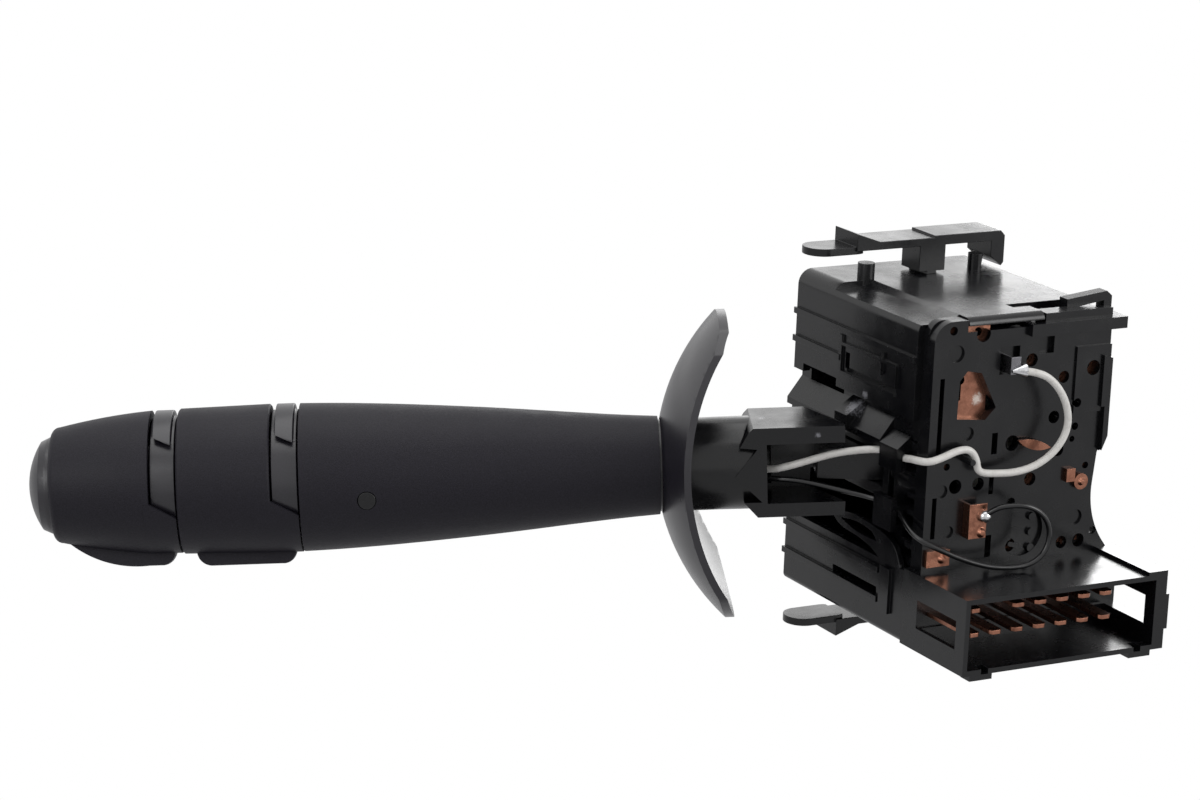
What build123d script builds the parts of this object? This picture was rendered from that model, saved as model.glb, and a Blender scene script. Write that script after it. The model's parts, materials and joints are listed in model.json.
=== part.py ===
from build123d import *
import os
from math import cos, pi, radians, sin, tan

os.makedirs("parts", exist_ok=True)

# Combination stalk switch, in millimetres, +Z up.
# The origin lies on the inner end face of the housing, level with the lever's pivot.
# X runs along the housing into the column, Y from the contact plate to the back.

# Housing sizes
housing_depth = 40.0
plate_reach = 24.0
back_reach = 23.5
top_reach = 33.0
base_reach = 31.0
wall = 1.6
seat_pad = 1.0
tray_height = 14.5
step_height = 44.0
step_inset = 2.0
top_edge_radius = 3.0
rib_proud = 0.7
rib_width = 1.2

# Contact plate and connector sizes
plate_thickness = 2.0
frame_depth = 3.7
plate_inset = 1.4
plate_overhang = 1.8
plate_corner_radius = 4.0
connector_reach = 42.0
connector_width = 46.0
connector_height = 15.0
connector_wall = 1.0
connector_right_wall = 2.6
plug_floor = 2.0
blade_width = 2.8
blade_thickness = 0.8
blade_pitch = 5.0
blade_inset = 3.9
blade_rows = (7.0, 11.8)
blade_recess = 2.5
blade_seat_gap = 1.7
empty_position = 1
track_thickness = 0.8

# Lever sizes
pivot_inset = 4.4
sweep_angle = 26.2
drop_angle = 3.66
turn_angle = 12.0
neck_half_height = 3.0
neck_half_width = 5.0
channel_half_height = 9.2
channel_wall = 3.3
channel_near = 9.3
channel_far = 6.0
channel_start = 6.0
channel_end = 22.9
channel_point = 4.4
flange_clear = 9.2
tube_radius = 9.0
tube_start = 20.5
tube_end = 62.0
shroud_radius = 42.2
stem_seat = 0.6
shroud_thickness = 1.2
stem_start = shroud_radius - stem_seat
stem_end = 110.8
stem_wall = 1.6
sleeve_radius = 7.2
sleeve_wall = 1.4
sleeve_end = 157.0
core_radius = 3.0
core_wall = 0.8
core_start = 30.0
core_end = 152.0
light_tube_radius = 4.1
fog_tube_radius = 5.2
drive_wall = 0.8
collar_wall = 1.7
collar_key_width = 3.0
light_travel = 50.0
fog_travel = 25.0
horn_radius = 9.35
horn_travel = 2.0
plug_mark_radius = 1.85

# Rocker and detent sizes
cam_reach = 12.9
web_thickness = 2.1
detent_depth = 4.0
plunger_room = 4.3
plunger_seat = 2.0

# Clearances
running = 0.05
free = 0.3
loose = 0.6

# Wires
wire_radius = 0.65

# Places worked out from the sizes
left_x = -housing_depth
end_x = -seat_pad
front_y = -plate_reach
frame_y = front_y + frame_depth
back_y = back_reach
top_z = top_reach
base_z = -base_reach
tray_z = base_z + tray_height
step_z = base_z + step_height
plate_back_y = front_y + plate_thickness
plate_left_x = left_x + plate_inset
plug_depth = connector_reach - plate_reach - plug_floor
plate_low_z = base_z + connector_height
pivot_x = left_x + pivot_inset
pivot = Vector(pivot_x, 0, 0)
mid_z = (top_z + base_z) / 2
inner_back_y = back_y - wall
inner_end_x = end_x - wall
detent_reach = inner_end_x - detent_depth - pivot_x
web_x = pivot_x + cam_reach + web_thickness
tail_end_x = pivot_x + detent_reach - plunger_room
peg_reach = (web_x + tail_end_x) / 2 - pivot_x

sweep_turn = radians(sweep_angle)
drop = radians(drop_angle)
stalk_dir = Vector(-cos(drop) * cos(sweep_turn), cos(drop) * sin(sweep_turn), -sin(drop))
near_dir = Vector(-sin(sweep_turn), -cos(sweep_turn), 0)
up_dir = stalk_dir.cross(near_dir)
stalk_axis = Axis(pivot, stalk_dir)
lever_plane = Plane(origin=pivot, x_dir=near_dir, z_dir=stalk_dir)
stalk_section = Plane(origin=pivot, x_dir=near_dir, z_dir=near_dir.cross(stalk_dir))
side_plane = Plane(origin=pivot, x_dir=stalk_dir, z_dir=-near_dir)


def lever_point(along, near, up):
    """A point given along the stalk from the pivot, towards the near side and upwards."""
    return pivot + stalk_dir * along + near_dir * near + up_dir * up


def finish(builder, name):
    """Label a finished piece and write it to its own file."""
    builder.part.label = name
    export_step(builder.part, f"parts/{name}.step")


# Upper shell: a box open at the front and below, with the lever window's lean-to
pad_left = left_x + 9.0
pad_right = left_x + 26.0
pad_slope = 3.0
shoulder_drop = 1.4
lip_depth = 1.5
lip_gap = 1.1
panel_back_y = 6.0
panel_front_y = -13.8
panel_low_z = base_z + 48.3
lug_back_y = 4.2
lug_width = 4.4
front_top_y = front_y + 34.4
latch_foot_x = -17.0
latch_foot_radius = 1.2
latch_y_low = 11.0
latch_y_high = 19.5
peg_height = 3.3
window_high_z = base_z + 39.5
lean_to_low_z = base_z + 37.4
lean_to_proud = 1.2
lean_to_thickness = 1.3
lean_to_front_y = -11.0
seat_pad_low_y = -12.0
seat_pad_high_y = 20.0
seat_pad_low_z = -12.0
seat_pad_high_z = 27.0
trunnion_radius = 2.0
boss_radius = 3.2
back_boss_depth = 5.0
flange_left_x = end_x - 16.5
flange_right_x = end_x + 5.5
flange_front_y = front_y - 1.3
flange_back_y = front_y + 7.5
flange_low_z = base_z + 59.7
flange_thickness = 2.3

with BuildPart() as upper_shell:
    with BuildSketch(Plane.XY.offset(tray_z)):
        with Locations(((left_x + end_x) / 2, (frame_y + back_y) / 2)):
            Rectangle(end_x - left_x, back_y - frame_y)
    extrude(amount=top_z - tray_z)
    left_top_edge = upper_shell.edges().filter_by(Axis.Y).group_by(Axis.Z)[-1].sort_by(Axis.X)[0]
    fillet(left_top_edge, top_edge_radius)
    # The hollow, open at the front and below
    with BuildSketch(Plane.XY.offset(tray_z)):
        with Locations(((left_x + wall + inner_end_x) / 2, (frame_y + inner_back_y) / 2)):
            Rectangle(inner_end_x - left_x - wall, inner_back_y - frame_y)
    extrude(amount=top_z - wall - tray_z, mode=Mode.SUBTRACT)
    # The left wall stops at the step above the lever window
    with BuildSketch(Plane.YZ.offset(left_x)):
        with Locations(((frame_y + inner_back_y) / 2, (tray_z + step_z) / 2)):
            Rectangle(inner_back_y - frame_y, step_z - tray_z)
    extrude(amount=wall, mode=Mode.SUBTRACT)
    with BuildSketch(Plane.YZ.offset(left_x)):
        with Locations(((lean_to_front_y + back_y) / 2, (window_high_z + step_z) / 2)):
            Rectangle(back_y - lean_to_front_y, step_z - window_high_z)
    extrude(amount=step_inset, mode=Mode.SUBTRACT)
    with BuildSketch(Plane.YZ.offset(left_x + step_inset)):
        with Locations(((frame_y + inner_back_y) / 2, (window_high_z + step_z + wall) / 2)):
            Rectangle(inner_back_y - frame_y, step_z + wall - window_high_z)
    extrude(amount=wall)
    # Opening in the stepped wall
    with BuildSketch(Plane.YZ.offset(left_x)):
        with Locations(Location((13.8, step_z - 0.6))):
            Rectangle(12.4, 4.4)
    extrude(amount=step_inset + wall + 1, mode=Mode.SUBTRACT)
    # Lean-to strip over the lever
    with BuildSketch(Plane.XZ.offset(-back_y)):
        with BuildLine():
            Polyline(
                (left_x + step_inset + wall, window_high_z + lean_to_thickness),
                (left_x + step_inset, window_high_z + lean_to_thickness + 1.4),
                (left_x - lean_to_proud, lean_to_low_z + lean_to_thickness - 0.6),
                (left_x - lean_to_proud, lean_to_low_z - 0.6),
                (left_x + step_inset + 0.3, window_high_z),
                (left_x + step_inset + wall, window_high_z),
                close=True,
            )
        make_face()
    extrude(amount=back_y - lean_to_front_y)
    # Notch in the front right corner for the carrier's flange
    with BuildSketch(Plane.XY.offset(flange_low_z - free)):
        with Locations(((flange_left_x - free) / 2, (frame_y + flange_back_y + free) / 2)):
            Rectangle(free - flange_left_x, flange_back_y + free - frame_y)
    extrude(amount=top_z, mode=Mode.SUBTRACT)
    # Ribs along the left face
    for rib_z, rib_front in ((base_z + 55.8, frame_y), (base_z + 50.2, front_y + 30.0)):
        with BuildSketch(Plane.YZ.offset(left_x)):
            with Locations(((rib_front + back_y) / 2, rib_z)):
                Rectangle(back_y - rib_front, rib_width)
        extrude(amount=-rib_proud)
    # Snap panel on the left face: a post, a small window, a groove and thin borders
    with BuildSketch(Plane.YZ.offset(left_x)):
        with Locations((panel_back_y, panel_low_z + 2.9)):
            Rectangle(1.0, 7.2)
        with Locations(((panel_back_y + panel_front_y) / 2, panel_low_z + 4.8)):
            Rectangle(panel_back_y - panel_front_y, 0.6)
        with Locations((panel_front_y, panel_low_z + 2.6), (panel_front_y + 5.2, panel_low_z + 4.2)):
            Rectangle(0.6, 4.4)
        with Locations(((panel_back_y + panel_front_y) / 2, panel_low_z - 0.9)):
            Rectangle(panel_back_y - panel_front_y, 0.6)
    extrude(amount=-0.5)
    with BuildSketch(Plane.YZ.offset(left_x)):
        with Locations((panel_back_y - 2.2, panel_low_z + 1.7)):
            Rectangle(1.5, 3.2)
    extrude(amount=wall + 1, mode=Mode.SUBTRACT)
    with BuildSketch(Plane.YZ.offset(left_x)):
        with Locations(((panel_back_y + panel_front_y) / 2 - 1.0, panel_low_z)):
            Rectangle(panel_back_y - panel_front_y - 2.0, 0.9)
    extrude(amount=0.8, mode=Mode.SUBTRACT)
    # Stub of a lug on the lean-to
    with BuildSketch(Plane.XZ.offset(-lug_back_y)):
        with BuildLine():
            Polyline(
                (left_x - lean_to_proud + 0.4, lean_to_low_z + 0.2),
                (left_x - lean_to_proud - 0.9, lean_to_low_z + 1.0),
                (left_x - lean_to_proud - 0.9, lean_to_low_z + 2.8),
                (left_x + step_inset + 0.2, window_high_z + 3.6),
                (left_x + step_inset + 0.2, window_high_z + 1.4),
                close=True,
            )
        make_face()
    extrude(amount=lug_width)
    # Dropped shoulder left of the raised pad
    with BuildSketch(Plane.XZ.offset(-front_top_y)):
        with BuildLine():
            Polyline(
                (left_x - 1, top_z - shoulder_drop),
                (pad_left - pad_slope, top_z - shoulder_drop),
                (pad_left, top_z),
                (pad_left, top_z + 1),
                (left_x - 1, top_z + 1),
                close=True,
            )
        make_face()
    extrude(amount=front_top_y - frame_y, mode=Mode.SUBTRACT)
    # The pad's front lip, rounded over the plate's top edge
    with BuildSketch(Plane.YZ.offset(pad_left)):
        with BuildLine():
            Line((frame_y + wall, top_z), (front_y + lip_depth, top_z))
            ThreePointArc(
                (front_y + lip_depth, top_z),
                (front_y + 0.29 * lip_depth, top_z - 0.29 * lip_depth),
                (front_y, top_z - lip_depth),
            )
            Polyline(
                (front_y, top_z - lip_depth),
                (front_y + 0.6, top_z - lip_depth),
                (front_y + lip_depth, top_z - 1.0),
                (frame_y + wall, top_z - 1.0),
                (frame_y + wall, top_z),
            )
        make_face()
    extrude(amount=pad_right - pad_left)
    # Locating pegs and the two latch seats
    with BuildSketch(Plane.XY.offset(top_z - shoulder_drop)):
        with Locations((left_x + 8.0, back_y - 12.0)):
            Circle(1.7)
    extrude(amount=peg_height + shoulder_drop)
    with BuildSketch(Plane.XY.offset(top_z)):
        with Locations((end_x - 5.2, back_y - 11.5)):
            Circle(1.45)
    extrude(amount=peg_height)
    with BuildSketch(Plane.XZ.offset(-latch_y_low + free)):
        with Locations((latch_foot_x, top_z)):
            Circle(latch_foot_radius + running)
    extrude(amount=-(latch_y_high - latch_y_low + 2 * free), mode=Mode.SUBTRACT)
    # Bearing for the rocker's back trunnion
    with BuildSketch(Plane.XZ.offset(-inner_back_y)):
        with Locations((pivot_x, 0)):
            Circle(boss_radius)
    extrude(amount=back_boss_depth)
    with BuildSketch(Plane.XZ.offset(-inner_back_y)):
        with Locations((pivot_x, 0)):
            Circle(trunnion_radius + running)
    extrude(amount=back_boss_depth, mode=Mode.SUBTRACT)
    # Seat pad on the inner end
    with BuildSketch(Plane.YZ.offset(end_x)):
        with Locations(((seat_pad_low_y + seat_pad_high_y) / 2, (seat_pad_low_z + seat_pad_high_z) / 2)):
            RectangleRounded(
                seat_pad_high_y - seat_pad_low_y, seat_pad_high_z - seat_pad_low_z, 2.0
            )
    extrude(amount=seat_pad)
finish(upper_shell, "upper_shell")

# Lower shell: an open tray with two ribs and a snap recess
with BuildPart() as lower_shell:
    with BuildSketch(Plane.XY.offset(base_z)):
        with Locations(((left_x + end_x) / 2, (frame_y + back_y) / 2)):
            Rectangle(end_x - left_x, back_y - frame_y)
    extrude(amount=tray_height)
    low_left_edge = lower_shell.edges().filter_by(Axis.Y).group_by(Axis.Z)[0].sort_by(Axis.X)[0]
    fillet(low_left_edge, 1.2)
    with BuildSketch(Plane.XY.offset(base_z + wall)):
        with Locations(((left_x + wall + inner_end_x) / 2, (frame_y + wall + inner_back_y) / 2)):
            Rectangle(inner_end_x - left_x - wall, inner_back_y - frame_y - wall)
    extrude(amount=tray_height, mode=Mode.SUBTRACT)
    for rib_z in (base_z + 12.2, base_z + 6.3):
        with BuildSketch(Plane.YZ.offset(left_x)):
            with Locations(((front_y + 12.0 + back_y) / 2, rib_z)):
                Rectangle(back_y - front_y - 12.0, rib_width)
        extrude(amount=-rib_proud)
    # Snap recess and its clip block
    with BuildSketch(Plane.YZ.offset(left_x)):
        with Locations((-3.0, base_z + 7.6)):
            Rectangle(16.0, 1.6)
    extrude(amount=wall + 1, mode=Mode.SUBTRACT)
    with BuildSketch(Plane.YZ.offset(left_x)):
        with Locations((-14.5, base_z + 9.0)):
            Rectangle(3.4, 9.0)
    extrude(amount=-rib_proud)
    with BuildSketch(Plane.XZ.offset(-latch_y_low + free)):
        with Locations((latch_foot_x, base_z)):
            Circle(latch_foot_radius + running)
    extrude(amount=-(latch_y_high - latch_y_low + 2 * free), mode=Mode.SUBTRACT)
    # Curved tongue that keeps the wires off the tray's edge
    with BuildSketch(Plane.YZ.offset(left_x)):
        with BuildLine():
            Spline((-18.6, tray_z), (-16.0, -12.6), (-9.4, -10.9), (0.0, -10.7), (6.3, -12.2))
            Spline((6.3, -12.2), (4.6, -13.5), (-1.7, -14.4), (-6.0, -14.9), (-11.0, tray_z))
            Line((-11.0, tray_z), (-18.6, tray_z))
        make_face()
        with BuildLine():
            Spline((3.0, -12.5), (-1.0, -11.8), (-8.4, -12.2))
            Line((-8.4, -12.2), (-10.2, -13.6))
            Spline((-10.2, -13.6), (-2.0, -13.5), (3.0, -12.5))
        make_face(mode=Mode.SUBTRACT)
    extrude(amount=1.2)
finish(lower_shell, "lower_shell")

# Connector blades in two rows, the upper row with one position left empty
with BuildPart() as connector_blades:
    blade_length = connector_reach - blade_recess + frame_y - blade_seat_gap
    for row_index, row_up in enumerate(blade_rows):
        for position in range(7):
            if row_index == 1 and position == empty_position:
                continue
            with BuildSketch(Plane.XY.offset(base_z + row_up - blade_thickness / 2)):
                with Locations(
                    (
                        left_x + blade_inset + blade_pitch * position,
                        -connector_reach + blade_recess + blade_length / 2,
                    )
                ):
                    Rectangle(blade_width, blade_length)
            extrude(amount=blade_thickness)
    tip_edges = connector_blades.edges().filter_by(Axis.Z).group_by(Axis.Y)[0]
    chamfer(tip_edges, 0.6)
finish(connector_blades, "connector_blades")

# Round holes through the plate: across and up from the plate's lower left corner, radius
copper_holes = (
    (4.1, 46.9, 0.85),
    (10.9, 45.8, 1.55),
    (22.3, 39.8, 1.3),
    (30.0, 35.8, 1.2),
    (36.4, 37.2, 1.5),
    (23.7, 16.1, 1.3),
    (20.4, 3.0, 1.35),
    (32.1, 2.5, 1.25),
    (36.1, 2.5, 1.35),
    (4.4, 20.4, 0.7),
    (36.5, 17.6, 0.7),
)

# Copper tracks lying on the back of the plate, seen through its holes
# Each track: left, right, low and high edge from the plate's lower left corner
track_edges = (
    (2.6, 13.6, 27.4, 47.8),
    (20.6, 32.6, 33.6, 42.4),
    (34.6, 39.0, 34.6, 40.6),
    (21.8, 26.0, 13.6, 18.6),
    (18.4, 22.6, 1.9, 5.4),
    (30.2, 37.2, 1.9, 5.0),
    (2.6, 6.4, 19.4, 22.2),
    (34.8, 38.4, 15.8, 19.4),
)
with BuildPart() as contact_tracks:
    for track_left, track_right, track_low, track_high in track_edges:
        with BuildSketch(Plane.XZ.offset(-plate_back_y)):
            with Locations(
                (
                    plate_left_x + (track_left + track_right) / 2,
                    plate_low_z + (track_low + track_high) / 2,
                )
            ):
                Rectangle(track_right - track_left, track_high - track_low)
        extrude(amount=-track_thickness)
    # Keyhole in the large track and the dished eyes behind the plain holes
    with BuildSketch(Plane.XZ.offset(-plate_back_y)):
        with Locations((plate_left_x + 7.6, plate_low_z + 36.6)):
            Circle(0.9)
        with Locations((plate_left_x + 7.5, plate_low_z + 34.4)):
            Rectangle(0.6, 3.6)
    extrude(amount=-track_thickness, mode=Mode.SUBTRACT)
    for across, up, radius in copper_holes:
        if radius > 1.0:
            with BuildSketch(Plane.XZ.offset(-plate_back_y)):
                with Locations((plate_left_x + across, plate_low_z + up)):
                    Circle(radius * 0.55)
            extrude(amount=-track_thickness, mode=Mode.SUBTRACT)
finish(contact_tracks, "contact_tracks")

# Contact slider behind the plate, between two guide rails
slider_half_width = 3.4
slider_half_height = 6.0
slider_thickness = 3.2
slider_front_y = plate_back_y + track_thickness + free
slider_back_y = slider_front_y + slider_thickness
slider_left_x = pivot_x + peg_reach - slider_half_width
slider_right_x = pivot_x + peg_reach + slider_half_width
rail_width = 1.3
rail_gap = 0.15
rail_half_height = 11.0

# Contact carrier: the front plate with its frame, the connector shroud and the wire hooks
plate_top_z = base_z + 63.7
plate_right_x = plate_overhang
flare_x = 4.8
waist_x = -0.2
flare_waist_z = -2.0
square_low = base_z + 38.0
side_wall_x = plate_left_x + 0.6
side_wall_back_y = -12.0
comb_count = 6
comb_pitch = 3.3
comb_low_z = base_z + 17.4
wire_room = 2.0
hook_thickness = 1.3
hook_outer_x = side_wall_x - wire_room - hook_thickness
hook_back_y = lean_to_front_y - free
cavity_left_x = left_x + connector_wall
cavity_right_x = left_x + connector_width - connector_right_wall
cavity_low_z = base_z + connector_wall
cavity_high_z = base_z + connector_height - connector_wall
connector_back_y = frame_y

# Recess behind the black wire's loop
recess_x = plate_left_x + 22.4
recess_z = plate_low_z + 5.8
recess_radius = 5.0
recess_depth = 0.8
recess_pitch = 3.1

# Plain round holes, dimples and slots, measured the same way
dark_holes = (
    (28.3, 28.0, 1.25),
    (33.2, 30.5, 0.9),
    (33.4, 25.7, 0.75),
    (32.9, 23.2, 0.6),
    (29.8, 21.3, 1.25),
    (19.0, 23.7, 1.55),
    (6.6, 16.3, 1.4),
    (11.8, 16.3, 1.3),
    (39.3, 4.2, 0.8),
    (19.7, 11.9, 0.9),
)
dimples = (
    (5.1, 42.4, 1.7),
    (8.7, 26.5, 1.35),
    (35.0, 7.3, 1.55),
    (3.6, 15.6, 1.3),
    (5.6, 7.4, 1.2),
)
# Slots: across, up to the middle, width, height
slots = (
    (2.25, 30.4, 1.0, 14.8),
    (2.1, 10.4, 1.0, 8.1),
    (14.95, 24.0, 1.3, 4.2),
    (14.8, 15.7, 1.05, 3.4),
    (14.95, 3.6, 1.35, 4.4),
)

with BuildPart() as contact_carrier:
    with BuildSketch(Plane.XZ.offset(plate_reach)):
        with BuildLine():
            Polyline(
                (plate_left_x, plate_low_z),
                (plate_left_x, plate_top_z),
                (plate_right_x, plate_top_z),
                (plate_right_x, square_low),
                (plate_right_x - 1.4, square_low - 3.0),
            )
            Line((plate_right_x - 1.4, square_low - 3.0), (waist_x, flare_waist_z))
            TangentArc((waist_x, flare_waist_z), (flare_x, plate_low_z), tangent=(-0.1, -1))
            Line((flare_x, plate_low_z), (plate_left_x, plate_low_z))
        make_face()
    extrude(amount=-plate_thickness)
    plate_corner = contact_carrier.edges().filter_by(Axis.Y).sort_by(
        lambda edge: edge.center().X - edge.center().Z
    )[0]
    fillet(plate_corner, plate_corner_radius)
    # Frame behind the plate, closing the shells
    with BuildSketch(Plane.XZ.offset(-plate_back_y)):
        with Locations(((plate_left_x + end_x) / 2, (plate_low_z + plate_top_z) / 2)):
            Rectangle(end_x - plate_left_x, plate_top_z - plate_low_z)
    extrude(amount=-(frame_y - plate_back_y))
    frame_corner = contact_carrier.edges().filter_by(Axis.Y).sort_by(
        lambda edge: edge.center().X - edge.center().Z
    )[0]
    with BuildSketch(Plane.XZ.offset(-plate_back_y)):
        with Locations(((plate_left_x + end_x) / 2, (plate_low_z + plate_top_z) / 2)):
            Rectangle(end_x - plate_left_x - 2 * wall, plate_top_z - plate_low_z - 2 * wall)
    extrude(amount=-(frame_y - plate_back_y), mode=Mode.SUBTRACT)
    fillet(frame_corner, plate_corner_radius - 1.0)
    # Side wall beside the lever window, with comb shelves
    with BuildSketch(Plane.YZ.offset(side_wall_x)):
        with Locations(((plate_back_y + side_wall_back_y) / 2, (tray_z + window_high_z) / 2)):
            Rectangle(side_wall_back_y - plate_back_y, window_high_z - tray_z - 2 * free)
    extrude(amount=wall)
    for comb_step in range(comb_count):
        comb_z = comb_low_z + comb_step * comb_pitch
        with BuildSketch(Plane.YZ.offset(side_wall_x)):
            with Locations(((plate_back_y + side_wall_back_y) / 2 - 1.4, comb_z)):
                Rectangle(5.2, comb_pitch - 1.3)
        extrude(amount=wall, mode=Mode.SUBTRACT)
        with BuildSketch(Plane.XY.offset(comb_z + comb_pitch / 2 - 0.6)):
            with Locations((side_wall_x, plate_back_y + 1.8)):
                Rectangle(1.2, 4.6)
        extrude(amount=1.1)
    # Wire hook: leans out over the white wire and turns down outside it
    with BuildSketch(Plane.XZ.offset(-hook_back_y)):
        with BuildLine():
            Polyline(
                (side_wall_x + wall, window_high_z - free),
                (side_wall_x + wall, window_high_z - 2.2),
                (side_wall_x, window_high_z - 2.2),
                (hook_outer_x + hook_thickness, base_z + 36.6),
                (hook_outer_x + hook_thickness, base_z + 33.2),
                (hook_outer_x, base_z + 33.2),
                (hook_outer_x, lean_to_low_z + 0.4),
                (side_wall_x - 0.4, window_high_z + 0.6),
                (side_wall_x - 0.1, window_high_z - free),
                close=True,
            )
        make_face()
    extrude(amount=6.2)
    # Lower clip: turns up outside the black wire
    with BuildSketch(Plane.XZ.offset(10.2)):
        with BuildLine():
            Polyline(
                (side_wall_x, base_z + 21.2),
                (side_wall_x, base_z + 22.4),
                (hook_outer_x + hook_thickness, base_z + 22.4),
                (hook_outer_x + hook_thickness, base_z + 27.6),
                (hook_outer_x, base_z + 27.6),
                (hook_outer_x, base_z + 21.2),
                close=True,
            )
        make_face()
    extrude(amount=6.4)
    with BuildSketch(Plane.YZ.offset(side_wall_x)):
        with Locations((-11.1, base_z + 22.4)):
            Rectangle(1.8 + 2 * free, 2.4)
    extrude(amount=wall)
    # Bearing for the rocker's front trunnion
    with BuildSketch(Plane.XZ.offset(-plate_back_y)):
        with Locations((pivot_x, 0)):
            Circle(boss_radius - free)
    extrude(amount=-8.0)
    with BuildSketch(Plane.XZ.offset(-plate_back_y)):
        with Locations((pivot_x, 0)):
            Circle(trunnion_radius + running)
    extrude(amount=-11.0, mode=Mode.SUBTRACT)
    # Connector shroud
    with BuildSketch(Plane.XY.offset(base_z)):
        with Locations((left_x + connector_width / 2, (-connector_reach + connector_back_y) / 2)):
            Rectangle(connector_width, connector_reach + connector_back_y)
    extrude(amount=connector_height)
    with BuildSketch(Plane.XZ.offset(connector_reach)):
        with Locations(((cavity_left_x + cavity_right_x) / 2, (cavity_low_z + cavity_high_z) / 2)):
            Rectangle(cavity_right_x - cavity_left_x, cavity_high_z - cavity_low_z)
    extrude(amount=-plug_depth, mode=Mode.SUBTRACT)
    # Side windows, right border, front feet with their notches
    with BuildSketch(Plane.YZ.offset(left_x - 1)):
        with Locations((-connector_reach + 9.8, base_z + 7.3)):
            Rectangle(13.4, 5.6)
    extrude(amount=connector_width + 2, mode=Mode.SUBTRACT)
    with BuildSketch(Plane.XY.offset(base_z + connector_height)):
        with Locations((left_x + connector_width - 2.2, -connector_reach + 9.6)):
            Rectangle(4.4, 19.2)
    extrude(amount=0.7)
    with BuildSketch(Plane.XZ.offset(connector_reach)):
        with Locations((left_x + 4.2, base_z - 0.5), (left_x + 40.6, base_z - 0.5)):
            Rectangle(5.0, 1.2)
    extrude(amount=-3.0)
    with BuildSketch(Plane.XZ.offset(connector_reach)):
        with Locations((left_x + 5.0, cavity_low_z), (left_x + 40.0, cavity_low_z)):
            Rectangle(1.6, 2.0)
    extrude(amount=-2.4, mode=Mode.SUBTRACT)
    with BuildSketch(Plane.XZ.offset(connector_reach)):
        with Locations((left_x + connector_width + 0.3, base_z + 7.4)):
            Rectangle(0.8, 7.0)
    extrude(amount=-2.6)
    # The top edge is lower under the pad's lip, and a pocket lies behind the white wire's joint
    with BuildSketch(Plane.XZ.offset(plate_reach)):
        with Locations(((pad_left + pad_right) / 2, plate_top_z)):
            Rectangle(
                pad_right - pad_left + 2 * free,
                2 * (plate_top_z - top_z + lip_depth + lip_gap),
            )
    extrude(amount=plate_back_y - frame_y - plate_thickness, mode=Mode.SUBTRACT)
    with BuildSketch(Plane.XZ.offset(plate_reach)):
        with Locations((plate_left_x + 17.2, plate_low_z + 40.2)):
            Rectangle(4.4, 5.4)
    extrude(amount=-1.2, mode=Mode.SUBTRACT)
    # Holes, dimples and slots
    for across, up, radius in copper_holes + dark_holes:
        with BuildSketch(Plane.XZ.offset(plate_reach)):
            with Locations((plate_left_x + across, plate_low_z + up)):
                Circle(radius)
        extrude(amount=-plate_thickness, mode=Mode.SUBTRACT)
    for across, up, radius in dimples:
        with BuildSketch(Plane.XZ.offset(plate_reach)):
            with Locations((plate_left_x + across, plate_low_z + up)):
                Circle(radius)
        extrude(amount=-0.5, mode=Mode.SUBTRACT)
    for across, up, width, height in slots:
        with BuildSketch(Plane.XZ.offset(plate_reach)):
            with Locations((plate_left_x + across, plate_low_z + up)):
                Rectangle(width, height)
        extrude(amount=-plate_thickness, mode=Mode.SUBTRACT)
    # Trapezoid window over the copper track, and the square recess
    with BuildSketch(Plane.XZ.offset(plate_reach)):
        with BuildLine():
            Polyline(
                (plate_left_x + 7.8, plate_low_z + 38.8),
                (plate_left_x + 11.0, plate_low_z + 38.2),
                (plate_left_x + 14.7, plate_low_z + 31.2),
                (plate_left_x + 12.4, plate_low_z + 28.9),
                (plate_left_x + 6.0, plate_low_z + 29.6),
                (plate_left_x + 6.2, plate_low_z + 37.0),
                close=True,
            )
        make_face()
    extrude(amount=-plate_thickness, mode=Mode.SUBTRACT)
    with BuildSketch(Plane.XZ.offset(plate_reach)):
        with Locations((plate_left_x + 25.5, plate_low_z + 42.5)):
            Rectangle(3.4, 3.3)
    extrude(amount=-1.2, mode=Mode.SUBTRACT)
    # Raised panel on the right
    with BuildSketch(Plane.XZ.offset(plate_reach)):
        with BuildLine():
            Polyline(
                (plate_right_x - 8.0, plate_low_z + 28.4),
                (plate_right_x - 8.0, plate_low_z + 41.6),
                (plate_right_x, plate_low_z + 41.6),
                (plate_right_x, square_low),
                (plate_right_x - 1.2, square_low - 2.6),
                (plate_right_x - 1.2, plate_low_z + 28.4),
                close=True,
            )
        make_face()
        with Locations((plate_left_x + 36.4, plate_low_z + 37.2)):
            Circle(1.5, mode=Mode.SUBTRACT)
        with Locations((plate_left_x + 33.2, plate_low_z + 30.5)):
            Circle(0.9, mode=Mode.SUBTRACT)
    extrude(amount=0.5)
    # Bar along the panel's right edge
    with BuildSketch(Plane.XZ.offset(plate_reach + 0.5)):
        with BuildLine():
            Polyline(
                (plate_right_x - 2.0, plate_low_z + 29.4),
                (plate_right_x - 2.0, plate_low_z + 39.6),
                (plate_right_x, plate_low_z + 39.0),
                (plate_right_x, square_low + 0.4),
                (plate_right_x - 1.2, square_low - 2.4),
                (plate_right_x - 1.2, plate_low_z + 29.4),
                close=True,
            )
        make_face()
    extrude(amount=0.7)
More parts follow.
